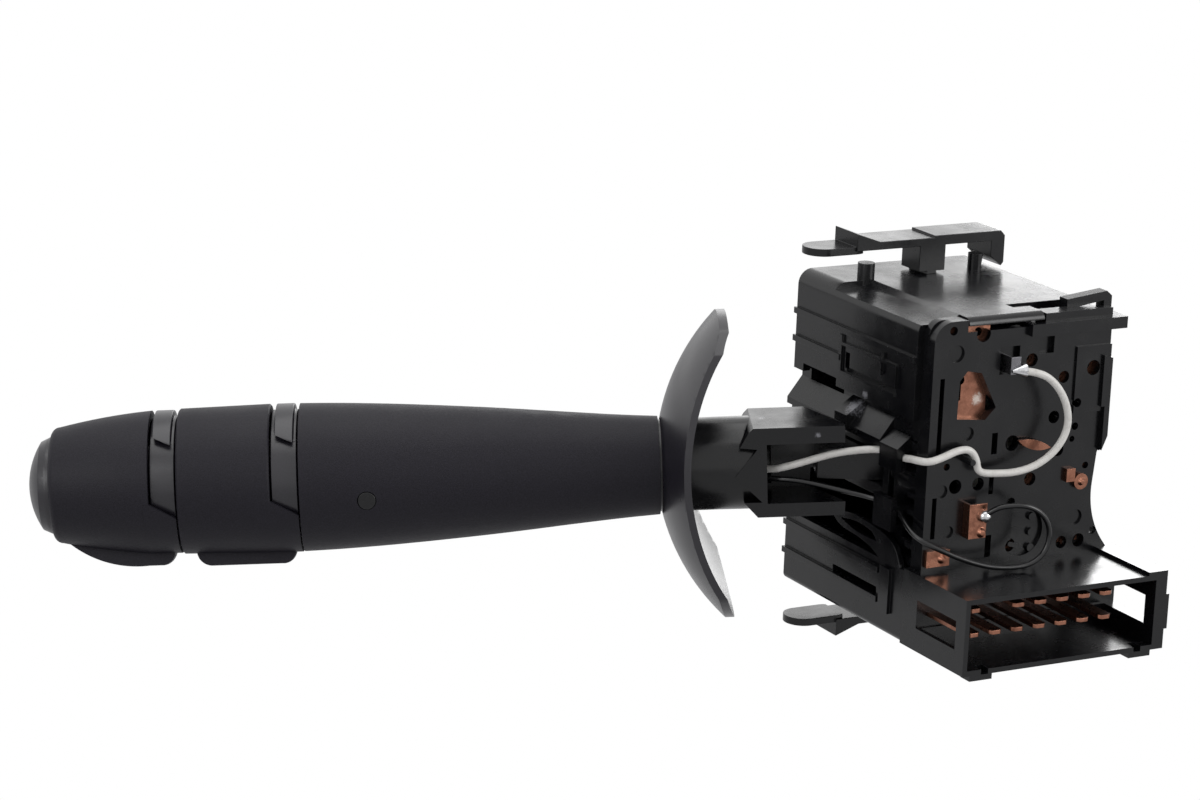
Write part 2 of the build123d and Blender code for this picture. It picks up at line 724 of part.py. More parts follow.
    # Round recess behind the black wire's loop, with three ribs and three raised discs
    with BuildSketch(Plane.XZ.offset(plate_reach)):
        with Locations((recess_x, recess_z)):
            Circle(recess_radius)
        with Locations((recess_x - recess_radius, recess_z)):
            Rectangle(recess_radius * 1.1, 2 * recess_radius, mode=Mode.SUBTRACT)
    extrude(amount=-recess_depth, mode=Mode.SUBTRACT)
    for rib_step in (-1, 0, 1):
        rib_z = recess_z + 0.3 + rib_step * recess_pitch
        with BuildSketch(Plane.XZ.offset(plate_reach - recess_depth)):
            with Locations(Location((recess_x - 1.0, rib_z), -18.0)):
                SlotOverall(3.6, 0.9)
            with Locations((recess_x + 2.6, rib_z - 0.8)):
                Circle(0.8)
        extrude(amount=recess_depth - 0.1)
    # Wire peg that the white wire folds round
    with BuildSketch(Plane.XZ.offset(plate_reach)):
        with Locations((left_x + 9.3, base_z + 36.8)):
            Circle(0.6)
    extrude(amount=3.6)
    # Guide rails of the contact slider
    with BuildSketch(Plane.XZ.offset(-plate_back_y)):
        with Locations(
            (slider_left_x - rail_gap - rail_width / 2, 0),
            (slider_right_x + rail_gap + rail_width / 2, 0),
        ):
            Rectangle(rail_width, 2 * rail_half_height)
    extrude(amount=-(slider_back_y - plate_back_y))
    # Pockets for the blade roots and the ends of the tracks
    add(connector_blades.part, mode=Mode.SUBTRACT)
    add(contact_tracks.part, mode=Mode.SUBTRACT)
    # Top flange with its bent hook
    with BuildSketch(Plane.XY.offset(flange_low_z)):
        with Locations(((flange_left_x + flange_right_x) / 2, (flange_front_y + flange_back_y) / 2)):
            Rectangle(flange_right_x - flange_left_x, flange_back_y - flange_front_y)
    extrude(amount=flange_thickness)
    with BuildSketch(Plane.XZ.offset(-flange_back_y + 2.2)):
        with BuildLine():
            Polyline(
                (flange_right_x - 1.2, flange_low_z + flange_thickness),
                (flange_right_x - 1.2, flange_low_z + 5.6),
                (flange_right_x - 2.4, flange_low_z + 6.6),
                (flange_right_x - 11.6, flange_low_z + 5.6),
                (flange_right_x - 11.6, flange_low_z + 3.6),
                (flange_right_x - 3.0, flange_low_z + 4.8),
                (flange_right_x - 3.0, flange_low_z + flange_thickness),
                close=True,
            )
        make_face()
    extrude(amount=2.6)
finish(contact_carrier, "contact_carrier")


# Wire terminals: folded copper tabs on the face of the plate
white_joint = Vector(left_x + 18.6, front_y, base_z + 54.2)
black_joint = Vector(left_x + 12.8, front_y, base_z + 25.6)
terminal_thickness = 0.6
white_tab_proud = 2.6
black_tab_proud = 2.2
with BuildPart() as wire_terminals:
    with BuildSketch(Plane.XY.offset(white_joint.Z - 1.2)):
        with BuildLine():
            Polyline(
                (white_joint.X - 1.4, front_y + 1.2),
                (white_joint.X - 1.4, front_y - white_tab_proud),
                (white_joint.X + 0.8, front_y - white_tab_proud),
                (white_joint.X + 0.8, front_y - white_tab_proud + terminal_thickness),
                (white_joint.X - 1.4 + terminal_thickness, front_y - white_tab_proud + terminal_thickness),
                (white_joint.X - 1.4 + terminal_thickness, front_y + 1.2),
                close=True,
            )
        make_face()
    extrude(amount=3.4)
    with BuildSketch(Plane.XY.offset(black_joint.Z - 4.4)):
        with BuildLine():
            Polyline(
                (black_joint.X - 2.6, front_y),
                (black_joint.X - 2.6, front_y - black_tab_proud),
                (black_joint.X + 1.4, front_y - black_tab_proud),
                (black_joint.X + 1.4, front_y - black_tab_proud + terminal_thickness),
                (black_joint.X - 2.6 + terminal_thickness, front_y - black_tab_proud + terminal_thickness),
                (black_joint.X - 2.6 + terminal_thickness, front_y),
                close=True,
            )
        make_face()
    extrude(amount=6.8)
    # Rivet under the black wire's joint
    with BuildSketch(Plane.XZ.offset(plate_reach + black_tab_proud)):
        with Locations((black_joint.X + 0.3, black_joint.Z - 3.3)):
            Circle(1.0)
    extrude(amount=0.7, taper=35)
finish(wire_terminals, "wire_terminals")

# Spade, eyelet and corner terminals
with BuildPart() as plate_terminals:
    with BuildSketch(Plane.XZ.offset(plate_reach + 0.6)):
        with BuildLine():
            ThreePointArc(
                (left_x + 21.0, base_z + 39.4),
                (left_x + 25.6, base_z + 39.0),
                (left_x + 28.6, base_z + 37.4),
            )
            ThreePointArc(
                (left_x + 28.6, base_z + 37.4),
                (left_x + 25.0, base_z + 37.2),
                (left_x + 21.0, base_z + 39.4),
            )
        make_face()
    extrude(amount=0.7)
    with BuildSketch(Plane.XZ.offset(plate_reach)):
        with Locations((left_x + 22.6, base_z + 38.7)):
            Circle(0.6)
    extrude(amount=0.9)
    with BuildSketch(Plane.XZ.offset(plate_reach)):
        with Locations((left_x + 36.5, base_z + 29.7)):
            Circle(1.6)
        with Locations((left_x + 34.0, base_z + 31.2)):
            Rectangle(2.0, 2.6)
    extrude(amount=1.0)
    with BuildSketch(Plane.XZ.offset(plate_reach)):
        with Locations((left_x + 4.6, base_z + 17.6)):
            Rectangle(5.2, 3.2)
    extrude(amount=0.8)
    # Rivet heads on the eyelet and on the corner terminal
    for rivet_x, rivet_z in ((left_x + 36.5, base_z + 29.7), (left_x + 5.4, base_z + 17.5)):
        with BuildSketch(Plane.XZ.offset(plate_reach + 0.7)):
            with Locations((rivet_x, rivet_z)):
                Circle(1.0)
        extrude(amount=0.9, taper=35)
finish(plate_terminals, "plate_terminals")

# Solder joints: a cone at the white wire, a ball at the black one
with BuildPart() as solder_joints:
    cone_base = (white_joint.X + 1.5, front_y - 2.9, white_joint.Z - 0.4)
    with BuildSketch(Plane(origin=cone_base, z_dir=(1, 0, 0))):
        Circle(1.4)
    extrude(amount=-2.8, taper=22)
    with Locations((black_joint.X + 0.6, front_y - black_tab_proud - 0.4, black_joint.Z)):
        Sphere(1.25)
    add(wire_terminals.part, mode=Mode.SUBTRACT)
finish(solder_joints, "solder_joints")

# Snap latch: an arm on a post, with a thumb tab at one end and a hook at the other
arm_low_z = top_z + 5.7
arm_high_z = top_z + 7.2
latch_end_x = 0.0
with BuildPart() as upper_latch:
    with BuildSketch(Plane.XZ.offset(-latch_y_low)):
        with BuildLine():
            Polyline(
                (left_x + 5.4, arm_low_z),
                (left_x + 5.4, arm_high_z + 2.0),
                (left_x + 10.7, arm_high_z + 0.1),
                (left_x + 23.3, arm_high_z + 0.1),
                (left_x + 23.3, arm_high_z + 0.5),
                (latch_end_x - 1.0, arm_high_z + 0.5),
                (latch_end_x, arm_high_z - 0.5),
                (latch_end_x, top_z + 1.2),
                (latch_end_x - 0.6, top_z + 0.5),
                (latch_end_x - 3.2, top_z + 2.6),
                (latch_end_x - 3.2, arm_low_z),
                close=True,
            )
        make_face()
    extrude(amount=-(latch_y_high - latch_y_low))
    # Thumb tab with a rounded end
    with BuildSketch(Plane.XY.offset(arm_low_z - 0.7)):
        with Locations((left_x + 2.7, (latch_y_low + latch_y_high) / 2)):
            SlotOverall(9.4 + 4.0, latch_y_high - latch_y_low - 1.0)
        with Locations((left_x + 12.4, (latch_y_low + latch_y_high) / 2)):
            Rectangle(10.0, latch_y_high - latch_y_low, mode=Mode.SUBTRACT)
    extrude(amount=1.5)
    # Post with its rounded foot
    with BuildSketch(Plane.XZ.offset(-latch_y_low)):
        with Locations((latch_foot_x, (top_z + loose + arm_low_z) / 2)):
            Rectangle(6.0, arm_low_z - top_z - loose)
        with Locations((latch_foot_x, top_z)):
            Circle(latch_foot_radius)
    extrude(amount=-(latch_y_high - latch_y_low - 2.0))
finish(upper_latch, "upper_latch")

with BuildPart() as lower_latch:
    mirror(upper_latch.part, about=Plane.XY.offset(mid_z))
finish(lower_latch, "lower_latch")

# Rocker: a yoke on trunnions that carries the lever and turns with it about Y
cheek_gap = 0.3
cheek_thickness = 2.2
cheek_half_height = neck_half_height + cheek_gap + cheek_thickness
rocker_left_x = pivot_x - 2.6
rocker_half_width = 10.4
rocker_wall = 2.0
tail_half_width = 3.4
pivot_pin_radius = 1.5
plunger_radius = 1.5
bore_depth = tail_end_x - web_x + 1.0
detent_height = 24.0
peg_radius = 1.2

with BuildPart() as rocker:
    with BuildSketch(Plane.XY.offset(-cheek_half_height)):
        with Locations(((rocker_left_x + web_x) / 2, 0)):
            Rectangle(web_x - rocker_left_x, 2 * rocker_half_width)
    extrude(amount=2 * cheek_half_height)
    # Room for the lever's neck, open to the left, with the dip cam at its end
    with BuildSketch(Plane.XY.offset(-neck_half_height - cheek_gap)):
        with Locations((pivot_x, 0)):
            Circle(cam_reach)
            Rectangle(2 * cam_reach, 2 * (rocker_half_width - rocker_wall), mode=Mode.INTERSECT)
        # Relief for the back of the lever when it is pulled
        with Locations((pivot_x - 1.0 - cam_reach / 2, rocker_half_width)):
            Rectangle(cam_reach, 2 * rocker_wall + 1.0)
    extrude(amount=2 * (neck_half_height + cheek_gap), mode=Mode.SUBTRACT)
    # Tail with the bore of the turn plunger
    with BuildSketch(Plane.YZ.offset(web_x)):
        RectangleRounded(2 * tail_half_width, 2 * tail_half_width, 1.0)
    extrude(amount=tail_end_x - web_x)
    with BuildSketch(Plane.YZ.offset(tail_end_x - bore_depth)):
        Circle(plunger_radius + running)
    extrude(amount=bore_depth, mode=Mode.SUBTRACT)
    # Trunnions and the peg that drives the contact slider
    with BuildSketch(Plane.XZ.offset(rocker_half_width)):
        with Locations((pivot_x, 0)):
            Circle(trunnion_radius)
    extrude(amount=-plate_back_y - 1.0 - rocker_half_width)
    with BuildSketch(Plane.XZ.offset(-rocker_half_width)):
        with Locations((pivot_x, 0)):
            Circle(trunnion_radius)
    extrude(amount=-(inner_back_y - free - rocker_half_width))
    with BuildSketch(Plane.XZ.offset(tail_half_width)):
        with Locations((pivot_x + peg_reach, 0)):
            Circle(peg_radius)
    extrude(amount=-slider_front_y - 0.8 - tail_half_width)
    # Hole for the pivot pin
    with BuildSketch(Plane.XY.offset(-cheek_half_height)):
        with Locations((pivot_x, 0)):
            Circle(pivot_pin_radius)
    extrude(amount=2 * cheek_half_height, mode=Mode.SUBTRACT)
finish(rocker, "rocker")

with BuildPart() as pivot_pin:
    with BuildSketch(Plane.XY.offset(-cheek_half_height - 0.4)):
        with Locations((pivot_x, 0)):
            Circle(pivot_pin_radius)
    extrude(amount=2 * cheek_half_height + 0.8)
    chamfer(pivot_pin.edges().filter_by(GeomType.CIRCLE), 0.3)
finish(pivot_pin, "pivot_pin")

# Turn plunger with a domed nose, and its spring in the rocker's tail
plunger_tip_x = pivot_x + detent_reach - free
with BuildPart() as turn_plunger:
    with BuildSketch(Plane.YZ.offset(tail_end_x - plunger_seat)):
        Circle(plunger_radius)
    extrude(amount=plunger_tip_x - plunger_radius - tail_end_x + plunger_seat)
    with Locations((plunger_tip_x - plunger_radius, 0, 0)):
        Sphere(plunger_radius)
finish(turn_plunger, "turn_plunger")

spring_wire = 0.3
with BuildPart() as turn_spring:
    with BuildSketch(Plane.YZ.offset(tail_end_x - bore_depth)):
        Circle(plunger_radius - 0.2)
        Circle(plunger_radius - 0.2 - 2 * spring_wire, mode=Mode.SUBTRACT)
    extrude(amount=bore_depth - plunger_seat)
finish(turn_spring, "turn_spring")

# Detent block on the housing's inner end, hollowed about the turn axis with three dips
with BuildPart() as detent_block:
    with BuildSketch(Plane.XZ.offset(-5.0)):
        with Locations(((pivot_x + detent_reach - 1.4 + inner_end_x) / 2, 0)):
            Rectangle(inner_end_x - pivot_x - detent_reach + 1.4, detent_height)
        with Locations((pivot_x, 0)):
            Circle(detent_reach, mode=Mode.SUBTRACT)
        with Locations((pivot_x, 0)):
            with PolarLocations(detent_reach, 3, -turn_angle, 2 * turn_angle, endpoint=True):
                Circle(0.5, mode=Mode.SUBTRACT)
    extrude(amount=10.0)
finish(detent_block, "detent_block")

# Contact slider between its two guide rails behind the plate
with BuildPart() as contact_slider:
    with BuildSketch(Plane.XZ.offset(-slider_front_y)):
        with Locations(((slider_left_x + slider_right_x) / 2, 0)):
            RectangleRounded(slider_right_x - slider_left_x, 2 * slider_half_height, 0.8)
        with Locations((pivot_x + peg_reach, 0)):
            SlotOverall(2 * peg_radius + 2.0, 2 * peg_radius + 2 * running, mode=Mode.SUBTRACT)
    extrude(amount=-(slider_back_y - slider_front_y))
finish(contact_slider, "contact_slider")

# Lever tube: the pivot neck, the open channel and the round tube in one moulding
channel_inner_half = channel_half_height - channel_wall
neck_back = -3.0
tail_back = -9.4
dip_plunger_tip = -cam_reach + free
dip_plunger_radius = 1.2
with BuildPart() as lever_tube:
    # Channel, open to the near side, with a pointed end over the round tube
    with BuildSketch(side_plane.offset(-channel_near)):
        with BuildLine():
            Polyline(
                (channel_start, channel_half_height),
                (channel_end + 0.8, channel_half_height),
                (channel_end + 1.6, channel_half_height - 0.8),
                (channel_end + 3.4, channel_inner_half - 0.5),
                (channel_end, channel_inner_half - 0.9),
                (channel_end + channel_point, -0.4),
                (channel_end - 0.8, 0.3 - channel_inner_half),
                (channel_end + 2.7, 0.3 - channel_inner_half),
                (channel_end + 0.1, 0.6 - channel_half_height),
                (channel_start, 0.6 - channel_half_height),
                close=True,
            )
        make_face()
    extrude(amount=channel_near + channel_far)
    # The flanges stop short of the housing, where only the neck goes on
    flange_stop_x = pivot_x - flange_clear
    with BuildSketch(Plane.XY.offset(neck_half_height)):
        with Locations((flange_stop_x + 15.0, 0)):
            Rectangle(30.0, 60.0)
    extrude(amount=20.0, mode=Mode.SUBTRACT)
    with BuildSketch(Plane.XY.offset(-neck_half_height)):
        with Locations((flange_stop_x + 15.0, 0)):
            Rectangle(30.0, 60.0)
    extrude(amount=-20.0, mode=Mode.SUBTRACT)
    # Round tube
    with BuildSketch(stalk_section):
        with BuildLine():
            Polyline(
                (0, tube_start),
                (tube_radius + 0.1, tube_start),
                (tube_radius, shroud_radius - 2.0),
                (tube_radius, stem_start),
                (tube_radius - 0.6, stem_start),
                (tube_radius - 0.6, tube_end),
                (0, tube_end),
                close=True,
            )
        make_face()
    revolve(axis=stalk_axis)
    # Hollows of the channel and of the tube
    with BuildSketch(lever_plane.offset(channel_start - 1.0)):
        with Locations(((channel_near + 1.0 - channel_far + channel_wall) / 2, 0)):
            Rectangle(channel_near + 1.0 + channel_far - channel_wall, 2 * channel_inner_half)
    extrude(amount=tube_start + loose - channel_start + 1.0, mode=Mode.SUBTRACT)
    with BuildSketch(lever_plane.offset(tube_start - 1.0)):
        Circle(channel_inner_half)
    extrude(amount=tube_end - tube_start + 2.0, mode=Mode.SUBTRACT)
    # Neck round the pivot pin, with the tail that holds the dip plunger
    with BuildSketch(Plane.XY.offset(-neck_half_height)):
        with BuildLine():
            Polyline(
                tuple(pivot + stalk_dir * 11.0 + near_dir * neck_half_width)[:2],
                tuple(pivot + stalk_dir * neck_back + near_dir * neck_half_width)[:2],
                tuple(pivot + stalk_dir * neck_back + near_dir * 2.5)[:2],
                tuple(pivot + stalk_dir * tail_back + near_dir * 2.5)[:2],
                tuple(pivot + stalk_dir * tail_back - near_dir * 2.5)[:2],
                tuple(pivot + stalk_dir * neck_back - near_dir * 2.5)[:2],
                tuple(pivot + stalk_dir * neck_back - near_dir * neck_half_width)[:2],
                tuple(pivot + stalk_dir * 11.0 - near_dir * neck_half_width)[:2],
                close=True,
            )
        make_face()
        with Locations((pivot_x, 0)):
            Circle(pivot_pin_radius + running, mode=Mode.SUBTRACT)
    extrude(amount=2 * neck_half_height)
    with BuildSketch(Plane(origin=pivot - stalk_dir * 4.4, z_dir=-stalk_dir)):
        Circle(dip_plunger_radius + running)
    extrude(amount=8.0, mode=Mode.SUBTRACT)
finish(lever_tube, "lever_tube")

# Dip plunger and its spring in the lever's tail
dip_nose = pivot + stalk_dir * (dip_plunger_tip + dip_plunger_radius)
with BuildPart() as dip_plunger:
    with BuildSketch(Plane(origin=dip_nose, z_dir=stalk_dir)):
        Circle(dip_plunger_radius)
    extrude(amount=4.0)
    with Locations(dip_nose):
        Sphere(dip_plunger_radius)
finish(dip_plunger, "dip_plunger")

with BuildPart() as dip_spring:
    with BuildSketch(Plane(origin=dip_nose + stalk_dir * 4.0, z_dir=stalk_dir)):
        Circle(dip_plunger_radius - 0.1)
        Circle(dip_plunger_radius - 0.1 - 2 * spring_wire, mode=Mode.SUBTRACT)
    extrude(amount=-dip_plunger_tip - dip_plunger_radius - 4.0 - 4.4)
finish(dip_spring, "dip_spring")

# Shroud: part of a sphere about the pivot, cut to a rounded upright outline
with BuildPart() as shroud:
    with BuildSketch(stalk_section):
        with BuildLine():
            CenterArc((0, 0), shroud_radius, 5, 85)
            CenterArc((0, 0), shroud_radius - shroud_thickness, 5, 85)
            Line(
                (shroud_radius * cos(radians(5)), shroud_radius * sin(radians(5))),
                (
                    (shroud_radius - shroud_thickness) * cos(radians(5)),
                    (shroud_radius - shroud_thickness) * sin(radians(5)),
                ),
            )
            Line((0, shroud_radius), (0, shroud_radius - shroud_thickness))
        make_face()
    revolve(axis=stalk_axis)
    with BuildSketch(lever_plane):
        with BuildLine():
            ThreePointArc((-19.4, -2.0), (-17.7, 11.7), (-13.6, 25.2))
            Line((-13.6, 25.2), (-9.6, 28.4))
            ThreePointArc((-9.6, 28.4), (0, 30.0), (9.6, 28.4))
            Line((9.6, 28.4), (13.6, 25.2))
            ThreePointArc((13.6, 25.2), (17.7, 11.7), (19.4, -2.0))
            ThreePointArc((19.4, -2.0), (19.3, -12.5), (17.4, -22.4))
            ThreePointArc((17.4, -22.4), (0, -30.4), (-17.4, -22.4))
            ThreePointArc((-17.4, -22.4), (-19.3, -12.5), (-19.4, -2.0))
        make_face()
    extrude(amount=shroud_radius + 5, mode=Mode.INTERSECT)
    with BuildSketch(lever_plane.offset(20)):
        Circle(tube_radius)
    extrude(amount=shroud_radius, mode=Mode.SUBTRACT)
finish(shroud, "shroud")

# Stem: a tapered sleeve, widest at the collars
stem_start_radius = tube_radius + 0.6
with BuildPart() as stem:
    with BuildSketch(stalk_section):
        with BuildLine():
            Spline(
                (stem_start_radius, stem_start),
                (10.5, 53.8),
                (12.1, 71.1),
                (13.0, 82.6),
                (13.9, 96.8),
                (14.4, stem_end),
            )
            Line((14.4, stem_end), (14.4 - stem_wall, stem_end))
            Polyline(
                (14.4 - stem_wall, stem_end),
                (11.4 - stem_wall, 71.1),
                (tube_radius - 0.6, 56.0),
                (tube_radius - 0.6, stem_start),
                (stem_start_radius, stem_start),
            )
        make_face()
    revolve(axis=stalk_axis)
    # Web that carries the inner sleeve
    with BuildSketch(stalk_section):
        with BuildLine():
            Polyline(
                (sleeve_radius, 98.0),
                (13.0, 98.0),
                (13.0, 100.0),
                (sleeve_radius, 100.0),
                close=True,
            )
        make_face()
    revolve(axis=stalk_axis)
    with BuildSketch(Plane(origin=lever_point(98.0, 13.4, -1.2), z_dir=near_dir)):
        Circle(plug_mark_radius)
    extrude(amount=3.0, mode=Mode.SUBTRACT)
finish(stem, "stem")

with BuildPart() as stem_plug:
    with BuildSketch(Plane(origin=lever_point(98.0, 13.4, -1.2), z_dir=near_dir)):
        Circle(plug_mark_radius - 0.1)
    extrude(amount=0.45)
finish(stem_plug, "stem_plug")


def section_at(angle):
    """The radial section through the stalk axis, turned from the near side towards the top."""
    turned = radians(angle)
    outward = near_dir * cos(turned) + up_dir * sin(turned)
    return Plane(origin=pivot, x_dir=outward, z_dir=outward.cross(stalk_dir))


# Collar zones along the stalk
fog_start = 116.4
fog_end = 134.2
fog_radius = 14.45
fog_end_radius = 14.1
light_start = 139.6
light_middle = 150.0
light_middle_radius = 12.7
light_end_radius = 11.25
light_end = 159.0
light_start_radius = 13.9
ring_gap = 0.3
skirt_thickness = 0.9
skirt_high = -0.6
skirt_low = -3.8
tab_high = 11.5
tab_low = 9.6
ring_wall = 1.6
fog_key_start = 124.0
light_key_start = 143.0
key_length = 3.0
key_reach = sleeve_radius + 1.4
pad_half_sweep = 23.0
fog_pad_radius = 16.6
light_pad_radius = 16.2
light_pad_end = 156.0

# Inner sleeve on which the collars turn, with windows for their keys
sleeve_start = 98.0
sleeve_inner = sleeve_radius - sleeve_wall
with BuildPart() as inner_sleeve:
    with BuildSketch(lever_plane.offset(sleeve_start)):
        Circle(sleeve_radius)
        Circle(sleeve_inner, mode=Mode.SUBTRACT)
    extrude(amount=sleeve_end - sleeve_start)
    for key_start, travel_low, travel_high in (
        (fog_key_start, -fog_travel, fog_travel),
        (light_key_start, 0, light_travel),
    ):
        window_from = 90 + travel_low - 22
        with BuildSketch(section_at(window_from)):
            with Locations(((sleeve_radius + sleeve_inner) / 2, key_start + key_length / 2)):
                Rectangle(sleeve_wall + 1.0, key_length + 2 * free)
        revolve(
            axis=stalk_axis,
            revolution_arc=travel_high - travel_low + 44,
            mode=Mode.SUBTRACT,
        )
finish(inner_sleeve, "inner_sleeve")

# Core tube for the wires, and the two drive tubes round it
with BuildPart() as core_tube:
    with BuildSketch(lever_plane.offset(core_start)):
        Circle(core_radius)
        Circle(core_radius - core_wall, mode=Mode.SUBTRACT)
    extrude(amount=core_end - core_start)
finish(core_tube, "core_tube")

with BuildPart() as light_drive_tube:
    with BuildSketch(lever_plane.offset(core_start + 1.0)):
        Circle(light_tube_radius)
        Circle(light_tube_radius - drive_wall, mode=Mode.SUBTRACT)
    extrude(amount=light_key_start + key_length - core_start - 1.0)
    with BuildSketch(lever_plane.offset(light_key_start)):
        with Locations((0, (light_tube_radius - 0.4 + key_reach) / 2)):
            Rectangle(collar_key_width, key_reach - light_tube_radius + 0.4)
    extrude(amount=key_length)
finish(light_drive_tube, "light_drive_tube")

with BuildPart() as fog_drive_tube:
    with BuildSketch(lever_plane.offset(core_start + 2.0)):
        Circle(fog_tube_radius)
        Circle(fog_tube_radius - drive_wall, mode=Mode.SUBTRACT)
    extrude(amount=fog_key_start + key_length - core_start - 2.0)
    with BuildSketch(lever_plane.offset(fog_key_start)):
        with Locations((0, (fog_tube_radius - 0.4 + key_reach) / 2)):
            Rectangle(collar_key_width, key_reach - fog_tube_radius + 0.4)
    extrude(amount=key_length)
finish(fog_drive_tube, "fog_drive_tube")

# Fixed index rings between the collars, each with a raised tab on top
with BuildPart() as inner_index_ring:
    ring_start = stem_end + ring_gap
    ring_radius = fog_radius - skirt_thickness - running * 5
    with BuildSketch(lever_plane.offset(ring_start + 0.7)):
        Circle(fog_radius)
        Circle(ring_radius - 0.2, mode=Mode.SUBTRACT)
    extrude(amount=fog_start - ring_start - 1.8)
    with BuildSketch(side_plane):
        with BuildLine():
            Polyline(
                (ring_start, tab_low),
                (fog_start, tab_high),
                (fog_start, 2 * fog_radius),
                (ring_start, 2 * fog_radius),
                close=True,
            )
        make_face()
    extrude(amount=fog_radius, both=True, mode=Mode.INTERSECT)
    with BuildSketch(stalk_section):
        with BuildLine():
            Polyline(
                (sleeve_radius, ring_start + 1.0),
                (ring_radius - ring_wall, ring_start + 1.0),
                (ring_radius - ring_wall, ring_start),
                (ring_radius, ring_start),
                (ring_radius, fog_start - ring_gap),
                (ring_radius - ring_wall, fog_start - ring_gap),
                (ring_radius - ring_wall, ring_start + 2.6),
                (sleeve_radius, ring_start + 2.6),
                close=True,
            )
        make_face()
    revolve(axis=stalk_axis)
finish(inner_index_ring, "inner_index_ring")

with BuildPart() as outer_index_ring:
    ring_start = fog_end + ring_gap
    ring_radius = light_start_radius - skirt_thickness - running * 5
    with BuildSketch(lever_plane.offset(ring_start + 0.7)):
        Circle(light_start_radius)
        Circle(ring_radius - 0.4, mode=Mode.SUBTRACT)
    extrude(amount=light_start - ring_start - 1.6)
    with BuildSketch(side_plane):
        with BuildLine():
            Polyline(
                (ring_start, tab_low),
                (light_start, tab_high),
                (light_start, 2 * fog_radius),
                (ring_start, 2 * fog_radius),
                close=True,
            )
        make_face()
    extrude(amount=fog_radius, both=True, mode=Mode.INTERSECT)
    with BuildSketch(stalk_section):
        with BuildLine():
            Polyline(
                (sleeve_radius, ring_start + 1.0),
                (ring_radius - ring_wall, ring_start + 1.0),
                (ring_radius - ring_wall, ring_start),
                (ring_radius, ring_start),
                (ring_radius - 0.3, light_start - ring_gap),
                (ring_radius - ring_wall, light_start - ring_gap),
                (ring_radius - ring_wall, ring_start + 2.6),
                (sleeve_radius, ring_start + 2.6),
                close=True,
            )
        make_face()
    revolve(axis=stalk_axis)
finish(outer_index_ring, "outer_index_ring")

# Fog collar: a ring with an arc-shaped skirt below and a thumb pad
with BuildPart() as fog_collar:
    with BuildSketch(lever_plane.offset(stem_end + ring_gap)):
        Circle(fog_radius)
        Circle(fog_radius - skirt_thickness, mode=Mode.SUBTRACT)
    extrude(amount=fog_start + 1 - stem_end - ring_gap)
    with BuildSketch(side_plane):
        with BuildLine():
            Polyline(
                (stem_end, skirt_low),
                (fog_start, skirt_high),
                (fog_start + 1, skirt_high),
                (fog_start + 1, -2 * fog_radius),
                (stem_end, -2 * fog_radius),
                close=True,
            )
        make_face()
    extrude(amount=fog_radius + 1, both=True, mode=Mode.INTERSECT)
    with BuildSketch(stalk_section):
        with BuildLine():
            Polyline(
                (fog_radius - 0.3, fog_start),
                (fog_radius, fog_start + 0.3),
                (fog_end_radius, fog_end - 0.3),
                (fog_end_radius - 0.3, fog_end),
                (fog_end_radius - collar_wall, fog_end),
                (fog_radius - collar_wall, fog_key_start + key_length),
                (sleeve_radius + running, fog_key_start + key_length),
                (sleeve_radius + running, fog_key_start),
                (fog_radius - collar_wall, fog_key_start),
                (fog_radius - collar_wall, fog_start),
                close=True,
            )
        make_face()
    revolve(axis=stalk_axis)
    with BuildSketch(section_at(-90 - pad_half_sweep)):
        with BuildLine():
            Line((fog_radius - 0.6, fog_start - 3.9), (fog_radius + 0.3, fog_start - 3.9))
            ThreePointArc(
                (fog_radius + 0.3, fog_start - 3.9),
                (fog_pad_radius - 0.5, fog_start - 3.0),
                (fog_pad_radius, fog_start - 1.2),
            )
            Line((fog_pad_radius, fog_start - 1.2), (fog_pad_radius, fog_end - 5.6))
            ThreePointArc(
                (fog_pad_radius, fog_end - 5.6),
                (fog_pad_radius - 0.6, fog_end - 3.7),
                (fog_end_radius, fog_end - 2.6),
            )
            Polyline(
                (fog_end_radius, fog_end - 2.6),
                (fog_end_radius - 0.6, fog_end - 2.6),
                (fog_radius - 0.6, fog_start - 3.9),
            )
        make_face()
    revolve(axis=stalk_axis, revolution_arc=2 * pad_half_sweep)
    with BuildSketch(lever_plane.offset(fog_key_start)):
        with Locations((0, (sleeve_radius + key_reach) / 2)):
            Rectangle(collar_key_width, key_reach - sleeve_radius + 0.2)
    extrude(amount=key_length, mode=Mode.SUBTRACT)
finish(fog_collar, "fog_collar")

